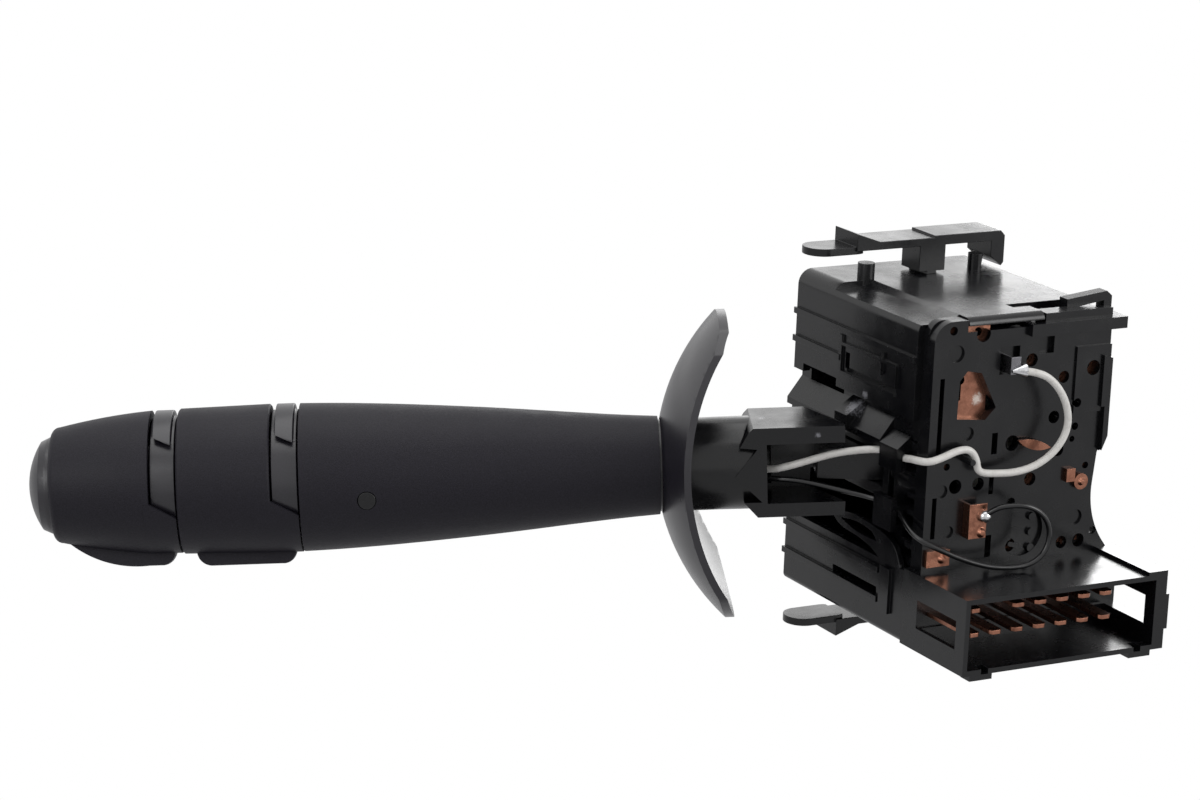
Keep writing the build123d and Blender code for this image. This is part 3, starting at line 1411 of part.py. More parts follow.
# Light collar: tapers to the tip, with its own skirt, pad and a mouth for the horn button
mouth_radius = horn_radius + 0.4
with BuildPart() as light_collar:
    with BuildSketch(lever_plane.offset(fog_end + ring_gap)):
        Circle(light_start_radius)
        Circle(light_start_radius - skirt_thickness, mode=Mode.SUBTRACT)
    extrude(amount=light_start + 1 - fog_end - ring_gap)
    with BuildSketch(side_plane):
        with BuildLine():
            Polyline(
                (fog_end, skirt_low),
                (light_start, skirt_high),
                (light_start + 1, skirt_high),
                (light_start + 1, -2 * fog_radius),
                (fog_end, -2 * fog_radius),
                close=True,
            )
        make_face()
    extrude(amount=fog_radius + 1, both=True, mode=Mode.INTERSECT)
    with BuildSketch(stalk_section):
        with BuildLine():
            Spline(
                (light_start_radius, light_start),
                (light_middle_radius, light_middle),
                (light_end_radius, light_end - 1.5),
            )
            ThreePointArc(
                (light_end_radius, light_end - 1.5),
                (light_end_radius - 0.45, light_end - 0.45),
                (mouth_radius, light_end),
            )
            Polyline(
                (mouth_radius, light_end),
                (mouth_radius, light_end - 4.6),
                (light_start_radius - collar_wall, light_key_start + key_length),
                (sleeve_radius + running, light_key_start + key_length),
                (sleeve_radius + running, light_key_start),
                (light_start_radius - collar_wall, light_key_start),
                (light_start_radius - collar_wall, light_start),
                (light_start_radius, light_start),
            )
        make_face()
    revolve(axis=stalk_axis)
    with BuildSketch(section_at(-90 - pad_half_sweep)):
        with BuildLine():
            Line((light_start_radius - 0.6, fog_end + 1.7), (light_start_radius + 0.5, fog_end + 1.7))
            ThreePointArc(
                (light_start_radius + 0.5, fog_end + 1.7),
                (light_pad_radius - 0.6, fog_end + 2.5),
                (light_pad_radius, fog_end + 4.4),
            )
            Line((light_pad_radius, fog_end + 4.4), (light_pad_radius, light_start + 1.4))
            ThreePointArc(
                (light_pad_radius, light_start + 1.4),
                (light_pad_radius - 1.2, light_middle),
                (light_end_radius + 0.35, light_pad_end),
            )
            Polyline(
                (light_end_radius + 0.35, light_pad_end),
                (light_end_radius - 0.4, light_pad_end),
                (light_start_radius - 1.2, light_start + 2.0),
                (light_start_radius - 0.6, fog_end + 1.7),
            )
        make_face()
    revolve(axis=stalk_axis, revolution_arc=2 * pad_half_sweep)
    with BuildSketch(lever_plane.offset(light_key_start)):
        with Locations((0, (sleeve_radius + key_reach) / 2)):
            Rectangle(collar_key_width, key_reach - sleeve_radius + 0.2)
    extrude(amount=key_length, mode=Mode.SUBTRACT)
finish(light_collar, "light_collar")

# Horn button: a domed cap with a guide skirt inside the sleeve's mouth
dome_tip = 163.7
dome_edge = 161.1
dome_edge_radius = 8.6
dome_rim = 159.5
button_skirt = 157.8
guide_radius = sleeve_inner - 0.1
guide_start = 154.6
contact_start = 151.2
contact_end = 152.6
with BuildPart() as horn_button:
    with BuildSketch(stalk_section):
        with BuildLine():
            ThreePointArc((0, dome_tip), (4.6, dome_tip - 0.7), (dome_edge_radius, dome_edge))
            Line((dome_edge_radius, dome_edge), (horn_radius, dome_rim))
            Polyline(
                (horn_radius, dome_rim),
                (horn_radius, button_skirt),
                (horn_radius - 1.0, button_skirt),
                (horn_radius - 1.4, dome_rim + 0.2),
                (guide_radius, dome_rim + 0.4),
                (guide_radius, guide_start),
                (guide_radius - 0.9, guide_start),
                (guide_radius - 0.9, dome_rim + 1.0),
                (1.6, dome_rim + 1.2),
                (1.6, contact_end + horn_travel + 0.2),
                (0, contact_end + horn_travel + 0.2),
                (0, dome_tip),
            )
        make_face()
    revolve(axis=stalk_axis)
finish(horn_button, "horn_button")

# Horn contacts: an insulating disc with a raised ring, pressed into the sleeve
with BuildPart() as horn_contacts:
    with BuildSketch(lever_plane.offset(contact_start)):
        Circle(sleeve_inner)
        Circle(core_radius + running, mode=Mode.SUBTRACT)
    extrude(amount=core_end - contact_start)
    with BuildSketch(lever_plane.offset(core_end)):
        Circle(sleeve_inner)
    extrude(amount=contact_end - core_end)
finish(horn_contacts, "horn_contacts")

horn_spring_radius = 4.0
with BuildPart() as horn_spring:
    with BuildSketch(lever_plane.offset(contact_end)):
        Circle(horn_spring_radius)
        Circle(horn_spring_radius - 2 * spring_wire, mode=Mode.SUBTRACT)
    extrude(amount=dome_rim + 1.0 - contact_end)
finish(horn_spring, "horn_spring")


def corner_radii(route):
    """Arc radii of a wire's corners: 0.45 of the shorter run over the tangent of half the turn."""
    radii = []
    for before, corner, after in zip(route, route[1:], route[2:]):
        run_in = corner - before
        run_out = after - corner
        half_turn = radians(run_in.get_angle(run_out)) / 2
        radii.append(0.45 * min(run_in.length, run_out.length) / tan(half_turn))
    return radii


# The white wire: from its joint in a wide loop, folded at the peg, then through the hook
white_leaving = Vector(-40.5, -8.3, 4.5)
white_arriving = Vector(-45.6, -4.3, 3.3)
white_split = (white_leaving + white_arriving) * 0.5
white_route = [
    Vector(-20.7, -27.1, 22.8),
    Vector(-17.6, -28.8, 22.7),
    Vector(-14.0, -29.2, 20.2),
    Vector(-11.2, -29.2, 16.0),
    Vector(-10.3, -29.0, 11.4),
    Vector(-12.2, -28.8, 7.4),
    Vector(-15.8, -28.3, 4.4),
    Vector(-20.4, -27.7, 3.0),
    Vector(-25.2, -26.9, 3.0),
    Vector(-28.5, -26.1, 3.3),
    Vector(-28.9, -25.9, 6.1),
    Vector(-30.4, -25.8, 8.0),
    Vector(-33.0, -25.8, 8.1),
    Vector(-36.4, -25.7, 6.9),
    Vector(-39.3, -25.5, 6.2),
    Vector(-40.2, -23.0, 6.0),
    Vector(-39.7, -20.0, 5.5),
    Vector(-39.1, -17.2, 4.8),
    Vector(-39.2, -13.9, 4.5),
    Vector(-39.1, -10.8, 4.6),
    white_leaving,
    white_split,
]
# The black wire: a lower loop, then through the lower clip
black_leaving = Vector(-40.6, -7.0, -5.4)
black_arriving = Vector(-45.2, -3.6, -4.5)
black_split = (black_leaving + black_arriving) * 0.5
black_route = [
    Vector(-26.5, -27.0, -5.0),
    Vector(-25.3, -28.1, -3.5),
    Vector(-22.4, -29.3, -2.9),
    Vector(-18.6, -30.2, -3.2),
    Vector(-15.2, -30.5, -5.6),
    Vector(-13.8, -30.5, -9.2),
    Vector(-14.8, -30.5, -12.8),
    Vector(-17.8, -30.4, -14.9),
    Vector(-22.2, -30.0, -15.2),
    Vector(-27.0, -29.3, -14.7),
    Vector(-32.4, -28.0, -12.9),
    Vector(-37.0, -26.4, -10.7),
    Vector(-39.7, -24.9, -9.3),
    Vector(-40.3, -22.2, -8.2),
    Vector(-39.8, -19.2, -7.1),
    Vector(-39.1, -16.3, -6.3),
    Vector(-39.2, -12.9, -5.9),
    Vector(-39.1, -9.7, -5.7),
    black_leaving,
    black_split,
]
with BuildPart() as white_wire:
    with BuildLine():
        FilletPolyline(*white_route, radius=corner_radii(white_route))
    with BuildSketch(Plane(origin=white_route[0], z_dir=white_route[1] - white_route[0])):
        Circle(wire_radius)
    sweep()
finish(white_wire, "white_wire")

with BuildPart() as black_wire:
    with BuildLine():
        FilletPolyline(*black_route, radius=corner_radii(black_route))
    with BuildSketch(Plane(origin=black_route[0], z_dir=black_route[1] - black_route[0])):
        Circle(wire_radius)
    sweep()
finish(black_wire, "black_wire")

# The same wires inside the lever, up to the horn contacts
wire_side = 0.75
white_lead_route = [
    white_split,
    white_arriving,
    Vector(-49.6, -1.7, 1.7),
    Vector(-53.2, 0.8, 0.0),
    lever_point(20.4, 5.0, -0.4),
    lever_point(25.6, 2.7, 0.2),
    lever_point(31.0, 0.5, wire_side),
    lever_point(38.0, 0.0, wire_side),
    lever_point(52.0, 0.1, wire_side),
    lever_point(80.0, 0.0, wire_side),
    lever_point(116.0, 0.1, wire_side),
    lever_point(core_end, 0.0, wire_side),
]
black_lead_route = [
    black_split,
    black_arriving,
    Vector(-48.6, -1.1, -3.7),
    Vector(-52.2, 1.3, -3.1),
    lever_point(20.2, 4.6, -2.2),
    lever_point(25.4, 2.3, -1.4),
    lever_point(31.0, 0.5, -wire_side),
    lever_point(38.0, 0.0, -wire_side),
    lever_point(52.0, 0.1, -wire_side),
    lever_point(80.0, 0.0, -wire_side),
    lever_point(116.0, 0.1, -wire_side),
    lever_point(core_end, 0.0, -wire_side),
]
with BuildPart() as white_lead:
    with BuildLine():
        FilletPolyline(*white_lead_route, radius=corner_radii(white_lead_route))
    with BuildSketch(Plane(origin=white_split, z_dir=white_lead_route[1] - white_split)):
        Circle(wire_radius)
    sweep()
finish(white_lead, "white_lead")

with BuildPart() as black_lead:
    with BuildLine():
        FilletPolyline(*black_lead_route, radius=corner_radii(black_lead_route))
    with BuildSketch(Plane(origin=black_split, z_dir=black_lead_route[1] - black_split)):
        Circle(wire_radius)
    sweep()
finish(black_lead, "black_lead")

for wire_name, route, piece in (
    ("white wire", white_route, white_wire),
    ("black wire", black_route, black_wire),
    ("white lead", white_lead_route, white_lead),
    ("black lead", black_lead_route, black_lead),
):
    length = piece.part.volume / (pi * wire_radius**2)
    print(wire_name, "length", round(length, 1), "radii", [round(r, 1) for r in corner_radii(route)])
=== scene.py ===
"""Dresses a combination stalk switch: moulded housing, wired contact plate and lever with turning collars.

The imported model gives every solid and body. This script gives each of them its finish, rounds the
moulded edges, and models the wires. All lengths are in metres, in the model's own frame.
"""

import json
import logging
from dataclasses import dataclass, field
from enum import Enum
from math import cos, radians, sin
from typing import Any

import bpy
from mathutils import Euler, Matrix, Vector


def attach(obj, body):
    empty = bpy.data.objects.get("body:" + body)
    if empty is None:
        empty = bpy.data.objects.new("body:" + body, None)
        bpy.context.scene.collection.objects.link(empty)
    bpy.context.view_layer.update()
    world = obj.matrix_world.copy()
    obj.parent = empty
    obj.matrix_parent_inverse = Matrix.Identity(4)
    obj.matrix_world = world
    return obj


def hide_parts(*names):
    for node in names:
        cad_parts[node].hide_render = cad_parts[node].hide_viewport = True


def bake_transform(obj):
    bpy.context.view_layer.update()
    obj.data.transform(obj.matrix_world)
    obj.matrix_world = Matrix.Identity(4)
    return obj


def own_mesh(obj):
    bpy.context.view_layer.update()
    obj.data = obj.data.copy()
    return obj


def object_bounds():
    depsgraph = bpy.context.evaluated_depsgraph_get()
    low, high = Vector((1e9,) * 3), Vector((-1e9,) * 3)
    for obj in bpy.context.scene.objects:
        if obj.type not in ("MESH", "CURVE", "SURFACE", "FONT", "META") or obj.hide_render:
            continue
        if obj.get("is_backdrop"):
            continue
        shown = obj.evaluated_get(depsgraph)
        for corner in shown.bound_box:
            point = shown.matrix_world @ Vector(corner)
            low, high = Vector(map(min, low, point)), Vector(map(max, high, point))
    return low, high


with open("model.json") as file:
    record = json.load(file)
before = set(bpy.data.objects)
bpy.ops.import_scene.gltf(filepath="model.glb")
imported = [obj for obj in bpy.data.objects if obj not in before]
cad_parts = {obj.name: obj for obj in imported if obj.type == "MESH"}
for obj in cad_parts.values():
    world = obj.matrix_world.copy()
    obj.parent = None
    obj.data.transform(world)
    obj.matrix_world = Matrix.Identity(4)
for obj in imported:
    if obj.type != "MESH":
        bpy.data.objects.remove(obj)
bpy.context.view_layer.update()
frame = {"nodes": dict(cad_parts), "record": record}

log = logging.getLogger("stalk_switch")

MM = 0.001


class Body(Enum):
    """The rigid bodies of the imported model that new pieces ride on."""

    HOUSING = "housing"
    ROCKER = "rocker"
    LEVER = "lever"


class Slot(Enum):
    """The record's material slots."""

    STALK = "stalk_plastic"
    HOUSING = "housing_plastic"
    INNER = "inner_plastic"
    STEEL = "steel"
    COPPER = "copper"
    SOLDER = "solder"
    WHITE_WIRE = "white_insulation"
    BLACK_WIRE = "black_insulation"


def body_of_node(node: str) -> str:
    """Find the body that a CAD node belongs to.

    Args:
        node: The node's name.

    Returns:
        The name of its body.
    """
    for body, members in frame["record"]["behaviour"]["bodies"].items():
        if node in members:
            return body
    raise KeyError(node)


def linear(hex_code: str) -> tuple[float, float, float, float]:
    """Turn an sRGB hex colour into a linear one with full alpha.

    Args:
        hex_code: Six hex digits, with or without a leading hash.

    Returns:
        The linear red, green, blue and alpha.
    """
    digits = hex_code.lstrip("#")
    values = [int(digits[i:i + 2], 16) / 255 for i in (0, 2, 4)]
    bent = [v / 12.92 if v <= 0.04045 else ((v + 0.055) / 1.055) ** 2.4 for v in values]
    return (bent[0], bent[1], bent[2], 1.0)


def add_node(
    material: bpy.types.Material | bpy.types.World,
    kind: str,
    settings: dict[str, Any] | None = None,
    inputs: dict[str | int, Any] | None = None,
) -> bpy.types.Node:
    """Add a shader node with its settings and its inputs.

    Args:
        material: The material or world that the node goes into.
        kind: The node's type name.
        settings: Attributes to set on the node.
        inputs: Values for its sockets, or output sockets to link to them.

    Returns:
        The new node.
    """
    node = material.node_tree.nodes.new(kind)
    for name, value in (settings or {}).items():
        setattr(node, name, value)
    for name, value in (inputs or {}).items():
        if isinstance(value, bpy.types.NodeSocket):
            material.node_tree.links.new(value, node.inputs[name])
        else:
            node.inputs[name].default_value = value
    return node


def new_material(name: str) -> tuple[bpy.types.Material, bpy.types.Node, bpy.types.NodeSocket]:
    """Start a material with one principled shader and object coordinates.

    Args:
        name: The material's name.

    Returns:
        The material, its shader node and the object coordinate socket.
    """
    material = bpy.data.materials.new(name)
    material.use_nodes = True
    material.node_tree.nodes.clear()
    shader = add_node(material, "ShaderNodeBsdfPrincipled")
    add_node(material, "ShaderNodeOutputMaterial", {}, {"Surface": shader.outputs["BSDF"]})
    where = add_node(material, "ShaderNodeTexCoord").outputs["Object"]
    return material, shader, where


# A mark's edge wanders by the noise, and it fades between two multiples of its radius
MARK_GRAIN_MM = 0.9
MARK_RAGGED = 3.2
MARK_FULL = 2.0
MARK_END = 2.8


def add_marks(
    material: bpy.types.Material,
    where: bpy.types.NodeSocket,
    colour: bpy.types.NodeSocket,
    marks: tuple[tuple[float, float, float, float], ...],
    shade: str,
) -> bpy.types.NodeSocket:
    """Lay small ragged marks, such as scuffs and smudges, over a colour.

    Args:
        material: The material.
        where: The object coordinates.
        colour: The colour under the marks.
        marks: Each mark's middle and radius, in millimetres.
        shade: The marks' colour as sRGB hex.

    Returns:
        The colour with its marks.
    """
    ragged = add_node(material, "ShaderNodeTexNoise", {}, {
        "Vector": where, "Scale": 1 / (MARK_GRAIN_MM * MM),
        "Detail": 6.0, "Roughness": 0.8, "Distortion": 1.5,
    })
    for x, y, z, radius in marks:
        away = add_node(material, "ShaderNodeVectorMath", {"operation": "DISTANCE"}, {
            0: where, 1: (x * MM, y * MM, z * MM),
        })
        reach = add_node(material, "ShaderNodeMath", {"operation": "MULTIPLY_ADD"}, {
            0: ragged.outputs["Fac"], 1: MARK_RAGGED * radius * MM, 2: away.outputs["Value"],
        })
        cover = add_node(material, "ShaderNodeMapRange", {}, {
            "Value": reach.outputs["Value"], "From Min": MARK_END * radius * MM,
            "From Max": MARK_FULL * radius * MM, "To Min": 0.0, "To Max": 0.8,
        })
        mixed = add_node(material, "ShaderNodeMix", {"data_type": "RGBA"}, {
            "Factor": cover.outputs["Result"], "A": colour, "B": linear(shade),
        })
        colour = mixed.outputs["Result"]
    return colour


@dataclass(frozen=True)
class MouldedPlastic:
    """An injection moulded plastic, with spark grain or a smooth skin.

    Attributes:
        name: The plastic's common name and finish.
        shade: Its colour as sRGB hex.
        paler: The colour of its slightly worn or stressed places.
        roughness: Mean roughness of the skin.
        spread: How much the roughness varies from place to place.
        grain_mm: Distance between grain pits; a real spark grain is about 0.1 mm, drawn coarser to show.
        grain_depth: Strength of the grain's bump.
        cloud_mm: Size of the soft patches where the skin is duller.
        wear: Share of the surface that shows the paler colour.
        shine: The shader's specular level; 0.5 is a bare plastic, less is dusty or etched.
        scuffs: Middle and radius of each place where the plastic is whitened, in millimetres.
    """

    name: str
    shade: str
    paler: str
    roughness: float
    spread: float
    grain_mm: float
    grain_depth: float
    cloud_mm: float
    wear: float
    shine: float
    scuffs: tuple[tuple[float, float, float, float], ...] = ()

    def build(self) -> bpy.types.Material:
        """Make the material.

        Returns:
            The node material.
        """
        material, shader, where = new_material(self.name)
        cloud = add_node(material, "ShaderNodeTexNoise", {}, {
            "Vector": where, "Scale": 1 / (self.cloud_mm * MM), "Detail": 3.0, "Roughness": 0.6,
        })
        dull = add_node(material, "ShaderNodeMapRange", {}, {
            "Value": cloud.outputs["Fac"], "From Min": 0.3, "From Max": 0.7,
            "To Min": self.roughness - self.spread, "To Max": self.roughness + self.spread,
        })
        worn = add_node(material, "ShaderNodeMapRange", {"interpolation_type": "SMOOTHSTEP"}, {
            "Value": cloud.outputs["Fac"], "From Min": 0.66 - self.wear, "From Max": 0.9 - self.wear,
            "To Min": 0.0, "To Max": 1.0,
        })
        grain = add_node(material, "ShaderNodeTexNoise", {}, {
            "Vector": where, "Scale": 1 / (self.grain_mm * MM), "Detail": 2.0, "Roughness": 0.7,
        })
        speck = add_node(material, "ShaderNodeMapRange", {}, {
            "Value": grain.outputs["Fac"], "From Min": 0.35, "From Max": 0.75, "To Min": 0.0, "To Max": 0.35,
        })
        amount = add_node(material, "ShaderNodeMath", {"operation": "MAXIMUM"}, {
            0: worn.outputs["Result"], 1: speck.outputs["Result"],
        })
        colour = add_node(material, "ShaderNodeMix", {"data_type": "RGBA"}, {
            "Factor": amount.outputs["Value"], "A": linear(self.shade), "B": linear(self.paler),
        })
        bump = add_node(material, "ShaderNodeBump", {}, {
            "Height": grain.outputs["Fac"], "Strength": self.grain_depth, "Distance": 0.05 * MM,
        })
        marked = add_marks(material, where, colour.outputs["Result"], self.scuffs, "8e8e94")
        links = material.node_tree.links
        links.new(marked, shader.inputs["Base Color"])
        links.new(dull.outputs["Result"], shader.inputs["Roughness"])
        links.new(bump.outputs["Normal"], shader.inputs["Normal"])
        shader.inputs["IOR"].default_value = 1.5
        shader.inputs["Specular IOR Level"].default_value = self.shine
        return material


@dataclass(frozen=True)
class SheetMetal:
    """A pressed or drawn metal, plain or plated.

    Attributes:
        name: The metal's common name and finish.
        shade: Its colour as sRGB hex.
        tarnish: The colour of its darker, handled patches.
        roughness: Mean roughness.
        patch_mm: Size of the tarnish patches.
        line_mm: Distance between rolling or drawing lines.
        plating: Colour of the tin over part of the strip, or nothing.
        plated_above_mm: The strip is tinned above this height.
        smudges: Middle and radius of each flux smudge, in millimetres.
    """

    name: str
    shade: str
    tarnish: str
    roughness: float
    patch_mm: float
    line_mm: float
    plating: str = ""
    plated_above_mm: float = 0.0
    smudges: tuple[tuple[float, float, float, float], ...] = ()

    def build(self) -> bpy.types.Material:
        """Make the material.

        Returns:
            The node material.
        """
        material, shader, where = new_material(self.name)
        patches = add_node(material, "ShaderNodeTexNoise", {}, {
            "Vector": where, "Scale": 1 / (self.patch_mm * MM), "Detail": 4.0, "Roughness": 0.65,
        })
        amount = add_node(material, "ShaderNodeMapRange", {}, {
            "Value": patches.outputs["Fac"], "From Min": 0.4, "From Max": 0.7, "To Min": 0.0, "To Max": 0.8,
        })
        colour = add_node(material, "ShaderNodeMix", {"data_type": "RGBA"}, {
            "Factor": amount.outputs["Result"], "A": linear(self.shade), "B": linear(self.tarnish),
        })
        lines = add_node(material, "ShaderNodeTexNoise", {}, {
            "Vector": where, "Scale": 1 / (self.line_mm * MM), "Detail": 2.0,
        })
        dull = add_node(material, "ShaderNodeMapRange", {}, {
            "Value": patches.outputs["Fac"], "From Min": 0.3, "From Max": 0.7,
            "To Min": self.roughness * 0.75, "To Max": self.roughness * 1.3,
        })
        bump = add_node(material, "ShaderNodeBump", {}, {
            "Height": lines.outputs["Fac"], "Strength": 0.25, "Distance": 0.03 * MM,
        })
        if self.plating:
            height = add_node(material, "ShaderNodeSeparateXYZ", {}, {"Vector": where}).outputs["Z"]
            above = add_node(material, "ShaderNodeMath", {"operation": "GREATER_THAN"}, {
                0: height, 1: self.plated_above_mm * MM,
            })
            colour = add_node(material, "ShaderNodeMix", {"data_type": "RGBA"}, {
                "Factor": above.outputs["Value"], "A": colour.outputs["Result"], "B": linear(self.plating),
            })
        marked = add_marks(material, where, colour.outputs["Result"], self.smudges, "d8cfc6")
        links = material.node_tree.links
        links.new(marked, shader.inputs["Base Color"])
        links.new(dull.outputs["Result"], shader.inputs["Roughness"])
        links.new(bump.outputs["Normal"], shader.inputs["Normal"])
        shader.inputs["Metallic"].default_value = 1.0
        return material


@dataclass(frozen=True)
class WireCover:
    """The extruded insulation of a thin wire.

    Attributes:
        name: The insulation's common name.
        shade: Its colour as sRGB hex.
        handled: The colour of the faint marks that handling leaves.
        roughness: Mean roughness.
        mark_mm: Size of the marks.
    """

    name: str
    shade: str
    handled: str
    roughness: float
    mark_mm: float

    def build(self) -> bpy.types.Material:
        """Make the material.

        Returns:
            The node material.
        """
        material, shader, where = new_material(self.name)
        marks = add_node(material, "ShaderNodeTexNoise", {}, {
            "Vector": where, "Scale": 1 / (self.mark_mm * MM), "Detail": 5.0, "Roughness": 0.7,
        })
        amount = add_node(material, "ShaderNodeMapRange", {}, {
            "Value": marks.outputs["Fac"], "From Min": 0.5, "From Max": 0.75, "To Min": 0.0, "To Max": 0.7,
        })
        colour = add_node(material, "ShaderNodeMix", {"data_type": "RGBA"}, {
            "Factor": amount.outputs["Result"], "A": linear(self.shade), "B": linear(self.handled),
        })
        dull = add_node(material, "ShaderNodeMapRange", {}, {
            "Value": marks.outputs["Fac"], "From Min": 0.3, "From Max": 0.7,
            "To Min": self.roughness * 0.8, "To Max": self.roughness * 1.25,
        })
        bump = add_node(material, "ShaderNodeBump", {}, {
            "Height": marks.outputs["Fac"], "Strength": 0.15, "Distance": 0.05 * MM,
        })
        links = material.node_tree.links
        links.new(colour.outputs["Result"], shader.inputs["Base Color"])
        links.new(dull.outputs["Result"], shader.inputs["Roughness"])
        links.new(bump.outputs["Normal"], shader.inputs["Normal"])
        shader.inputs["IOR"].default_value = 1.5
        return material


# ABS with a fine spark grain: almost black, with a soft grey sheen along its upper side
STALK_ABS = MouldedPlastic(
    name="grained black ABS", shade="110f16", paler="2e2c36", roughness=0.52, spread=0.05,
    grain_mm=0.26, grain_depth=1.0, cloud_mm=22, wear=0.02, shine=0.22,
)
# The shroud, the button and the index rings are smoother than the handle and mirror the light more
SHROUD_ABS = MouldedPlastic(
    name="satin black ABS", shade="121017", paler="2b2932", roughness=0.3, spread=0.04,
    grain_mm=0.26, grain_depth=0.25, cloud_mm=18, wear=0.02, shine=0.6,
)
# Glass filled nylon from a polished tool: half gloss, with flow marks and pale scuffs
HOUSING_NYLON = MouldedPlastic(
    name="black glass filled nylon", shade="060608", paler="17181b", roughness=0.25, spread=0.06,
    grain_mm=0.5, grain_depth=0.15, cloud_mm=6, wear=0.02, shine=0.4,
    scuffs=(
        (-40.2, 0.4, 11.0, 1.9), (-40.2, -3.0, 13.9, 0.9), (-50.2, -3.2, 6.8, 0.5), (-56.1, 8.4, 7.8, 0.7),
    ),
)
# Acetal in its natural colour for the pieces that slide inside the housing
INNER_ACETAL = MouldedPlastic(
    name="natural acetal", shade="dcdad0", paler="cfccbf", roughness=0.35, spread=0.05,
    grain_mm=0.4, grain_depth=0.08, cloud_mm=5, wear=0.05, shine=0.5,
)
DRAWN_STEEL = SheetMetal("drawn steel", "a9a9ab", "77777a", 0.3, 3.0, 0.2)
BARE_COPPER = SheetMetal(
    "bare copper strip", "a06f5b", "5f3d31", 0.3, 2.0, 0.3, smudges=((-27.0, -22.0, 16.6, 1.1),)
)
TERMINAL_COPPER = SheetMetal("part tinned copper strip", "a06f5b", "5f3d31", 0.28, 1.2, 0.25, "77767a", 5.0)
BRIGHT_SOLDER = SheetMetal("bright solder", "d4d4d6", "9a9a9d", 0.16, 0.8, 0.5)
WHITE_PVC = WireCover("off white wire insulation", "d9d7d3", "b9b5ae", 0.38, 1.6)
BLACK_PVC = WireCover("black wire insulation", "0b0b0d", "1a1a1d", 0.22, 1.6)


def select_only(piece: bpy.types.Object) -> None:
    """Deselect everything, then select one object and make it active."""
    bpy.ops.object.select_all(action="DESELECT")
    piece.select_set(True)
    bpy.context.view_layer.objects.active = piece


def apply_modifier(piece: bpy.types.Object, kind: str, **settings: Any) -> None:
    """Add a modifier with its settings and apply it.

    Args:
        piece: The object.
        kind: The modifier's type.
        **settings: Attributes of the modifier.
    """
    select_only(piece)
    modifier = piece.modifiers.new(kind.lower(), kind)
    for name, value in settings.items():
        setattr(modifier, name, value)
    bpy.ops.object.modifier_apply(modifier=modifier.name)


def dress(piece: bpy.types.Object, material: bpy.types.Material) -> None:
    """Give a new piece its material.

    Args:
        piece: The object.
        material: The material.
    """
    piece.data.materials.clear()
    piece.data.materials.append(material)


# Corners nearer than this are one, faces within this angle are flat, and steeper edges are rounded
MERGE_MM = 0.002
FLAT_DEG = 0.5
EDGE_DEG = 30


def moulded_copy(
    node: str, material: bpy.types.Material, edge_mm: float, smooth_deg: float = 40.0
) -> bpy.types.Object:
    """Copy a CAD node, round its edges as a mould does, and let the copy stand for the node.

    Args:
        node: The node's name.
        material: The copy's material.
        edge_mm: Width of the rounding; 0 leaves the edges sharp.
        smooth_deg: Edges flatter than this are shaded smooth.

    Returns:
        The finished copy.
    """
    source = frame["nodes"][node]
    piece = bpy.data.objects.new(f"{node}_moulded", source.data.copy())
    bpy.context.scene.collection.objects.link(piece)
    select_only(piece)
    bpy.ops.object.mode_set(mode="EDIT")
    bpy.ops.mesh.select_all(action="SELECT")
    bpy.ops.mesh.remove_doubles(threshold=MERGE_MM * MM)
    bpy.ops.mesh.dissolve_limited(angle_limit=radians(FLAT_DEG))
    bpy.ops.object.mode_set(mode="OBJECT")
    if edge_mm > 0:
        apply_modifier(
            piece, "BEVEL", width=edge_mm * MM, segments=2, limit_method="ANGLE",
            angle_limit=radians(EDGE_DEG), use_clamp_overlap=True, harden_normals=False,
        )
    select_only(piece)
    bpy.ops.object.shade_smooth_by_angle(angle=radians(smooth_deg))
    apply_modifier(piece, "WEIGHTED_NORMAL", mode="FACE_AREA", weight=50, keep_sharp=True)
    dress(piece, material)
    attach(piece, body_of_node(node))
    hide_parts(node)
    log.info("%s stands for %s", piece.name, node)
    return piece


@dataclass(frozen=True)
class Lamp:
    """A soft square lamp.

    Attributes:
        name: The lamp's name.
        place: Where it hangs.
        aim: The point that it faces.
        size: Its edge length.
        power: Its power in watts.
    """

    name: str
    place: tuple[float, float, float]
    aim: tuple[float, float, float]
    size: float
    power: float

    def hang(self) -> None:
        """Add the lamp to the scene, unseen by the camera itself."""
        data = bpy.data.lights.new(self.name, "AREA")
        data.shape = "SQUARE"
        data.size = self.size
        data.energy = self.power
        lamp = bpy.data.objects.new(self.name, data)
        lamp.visible_camera = False
        turn = (Vector(self.aim) - Vector(self.place)).to_track_quat("-Z", "Y").to_matrix()
        lamp.matrix_world = Matrix.Translation(self.place) @ turn.to_4x4()
        bpy.context.scene.collection.objects.link(lamp)


MIDDLE = (-0.08, 0.0, 0.0)
SHROUD_WING = (-0.055, 0.022, -0.028)
LAMPS = (
    Lamp("lamp_top", (-0.1, 0.1, 0.9), MIDDLE, 0.9, 3.6),
    Lamp("lamp_left", (-0.95, -0.25, 0.45), MIDDLE, 0.6, 2.4),
    Lamp("lamp_right", (0.65, -0.75, 0.35), MIDDLE, 0.6, 5.0),
    # A low lamp behind draws the gloss along the housing's top
    Lamp("lamp_back", (0.5, 0.82, 0.14), (-0.07, 0.02, 0.0), 0.45, 0.6),
    # A small near one shines past the housing's back into the shroud's hollow side
    Lamp("lamp_shroud", (0.08, 0.072, 0.014), SHROUD_WING, 0.08, 0.1),
)


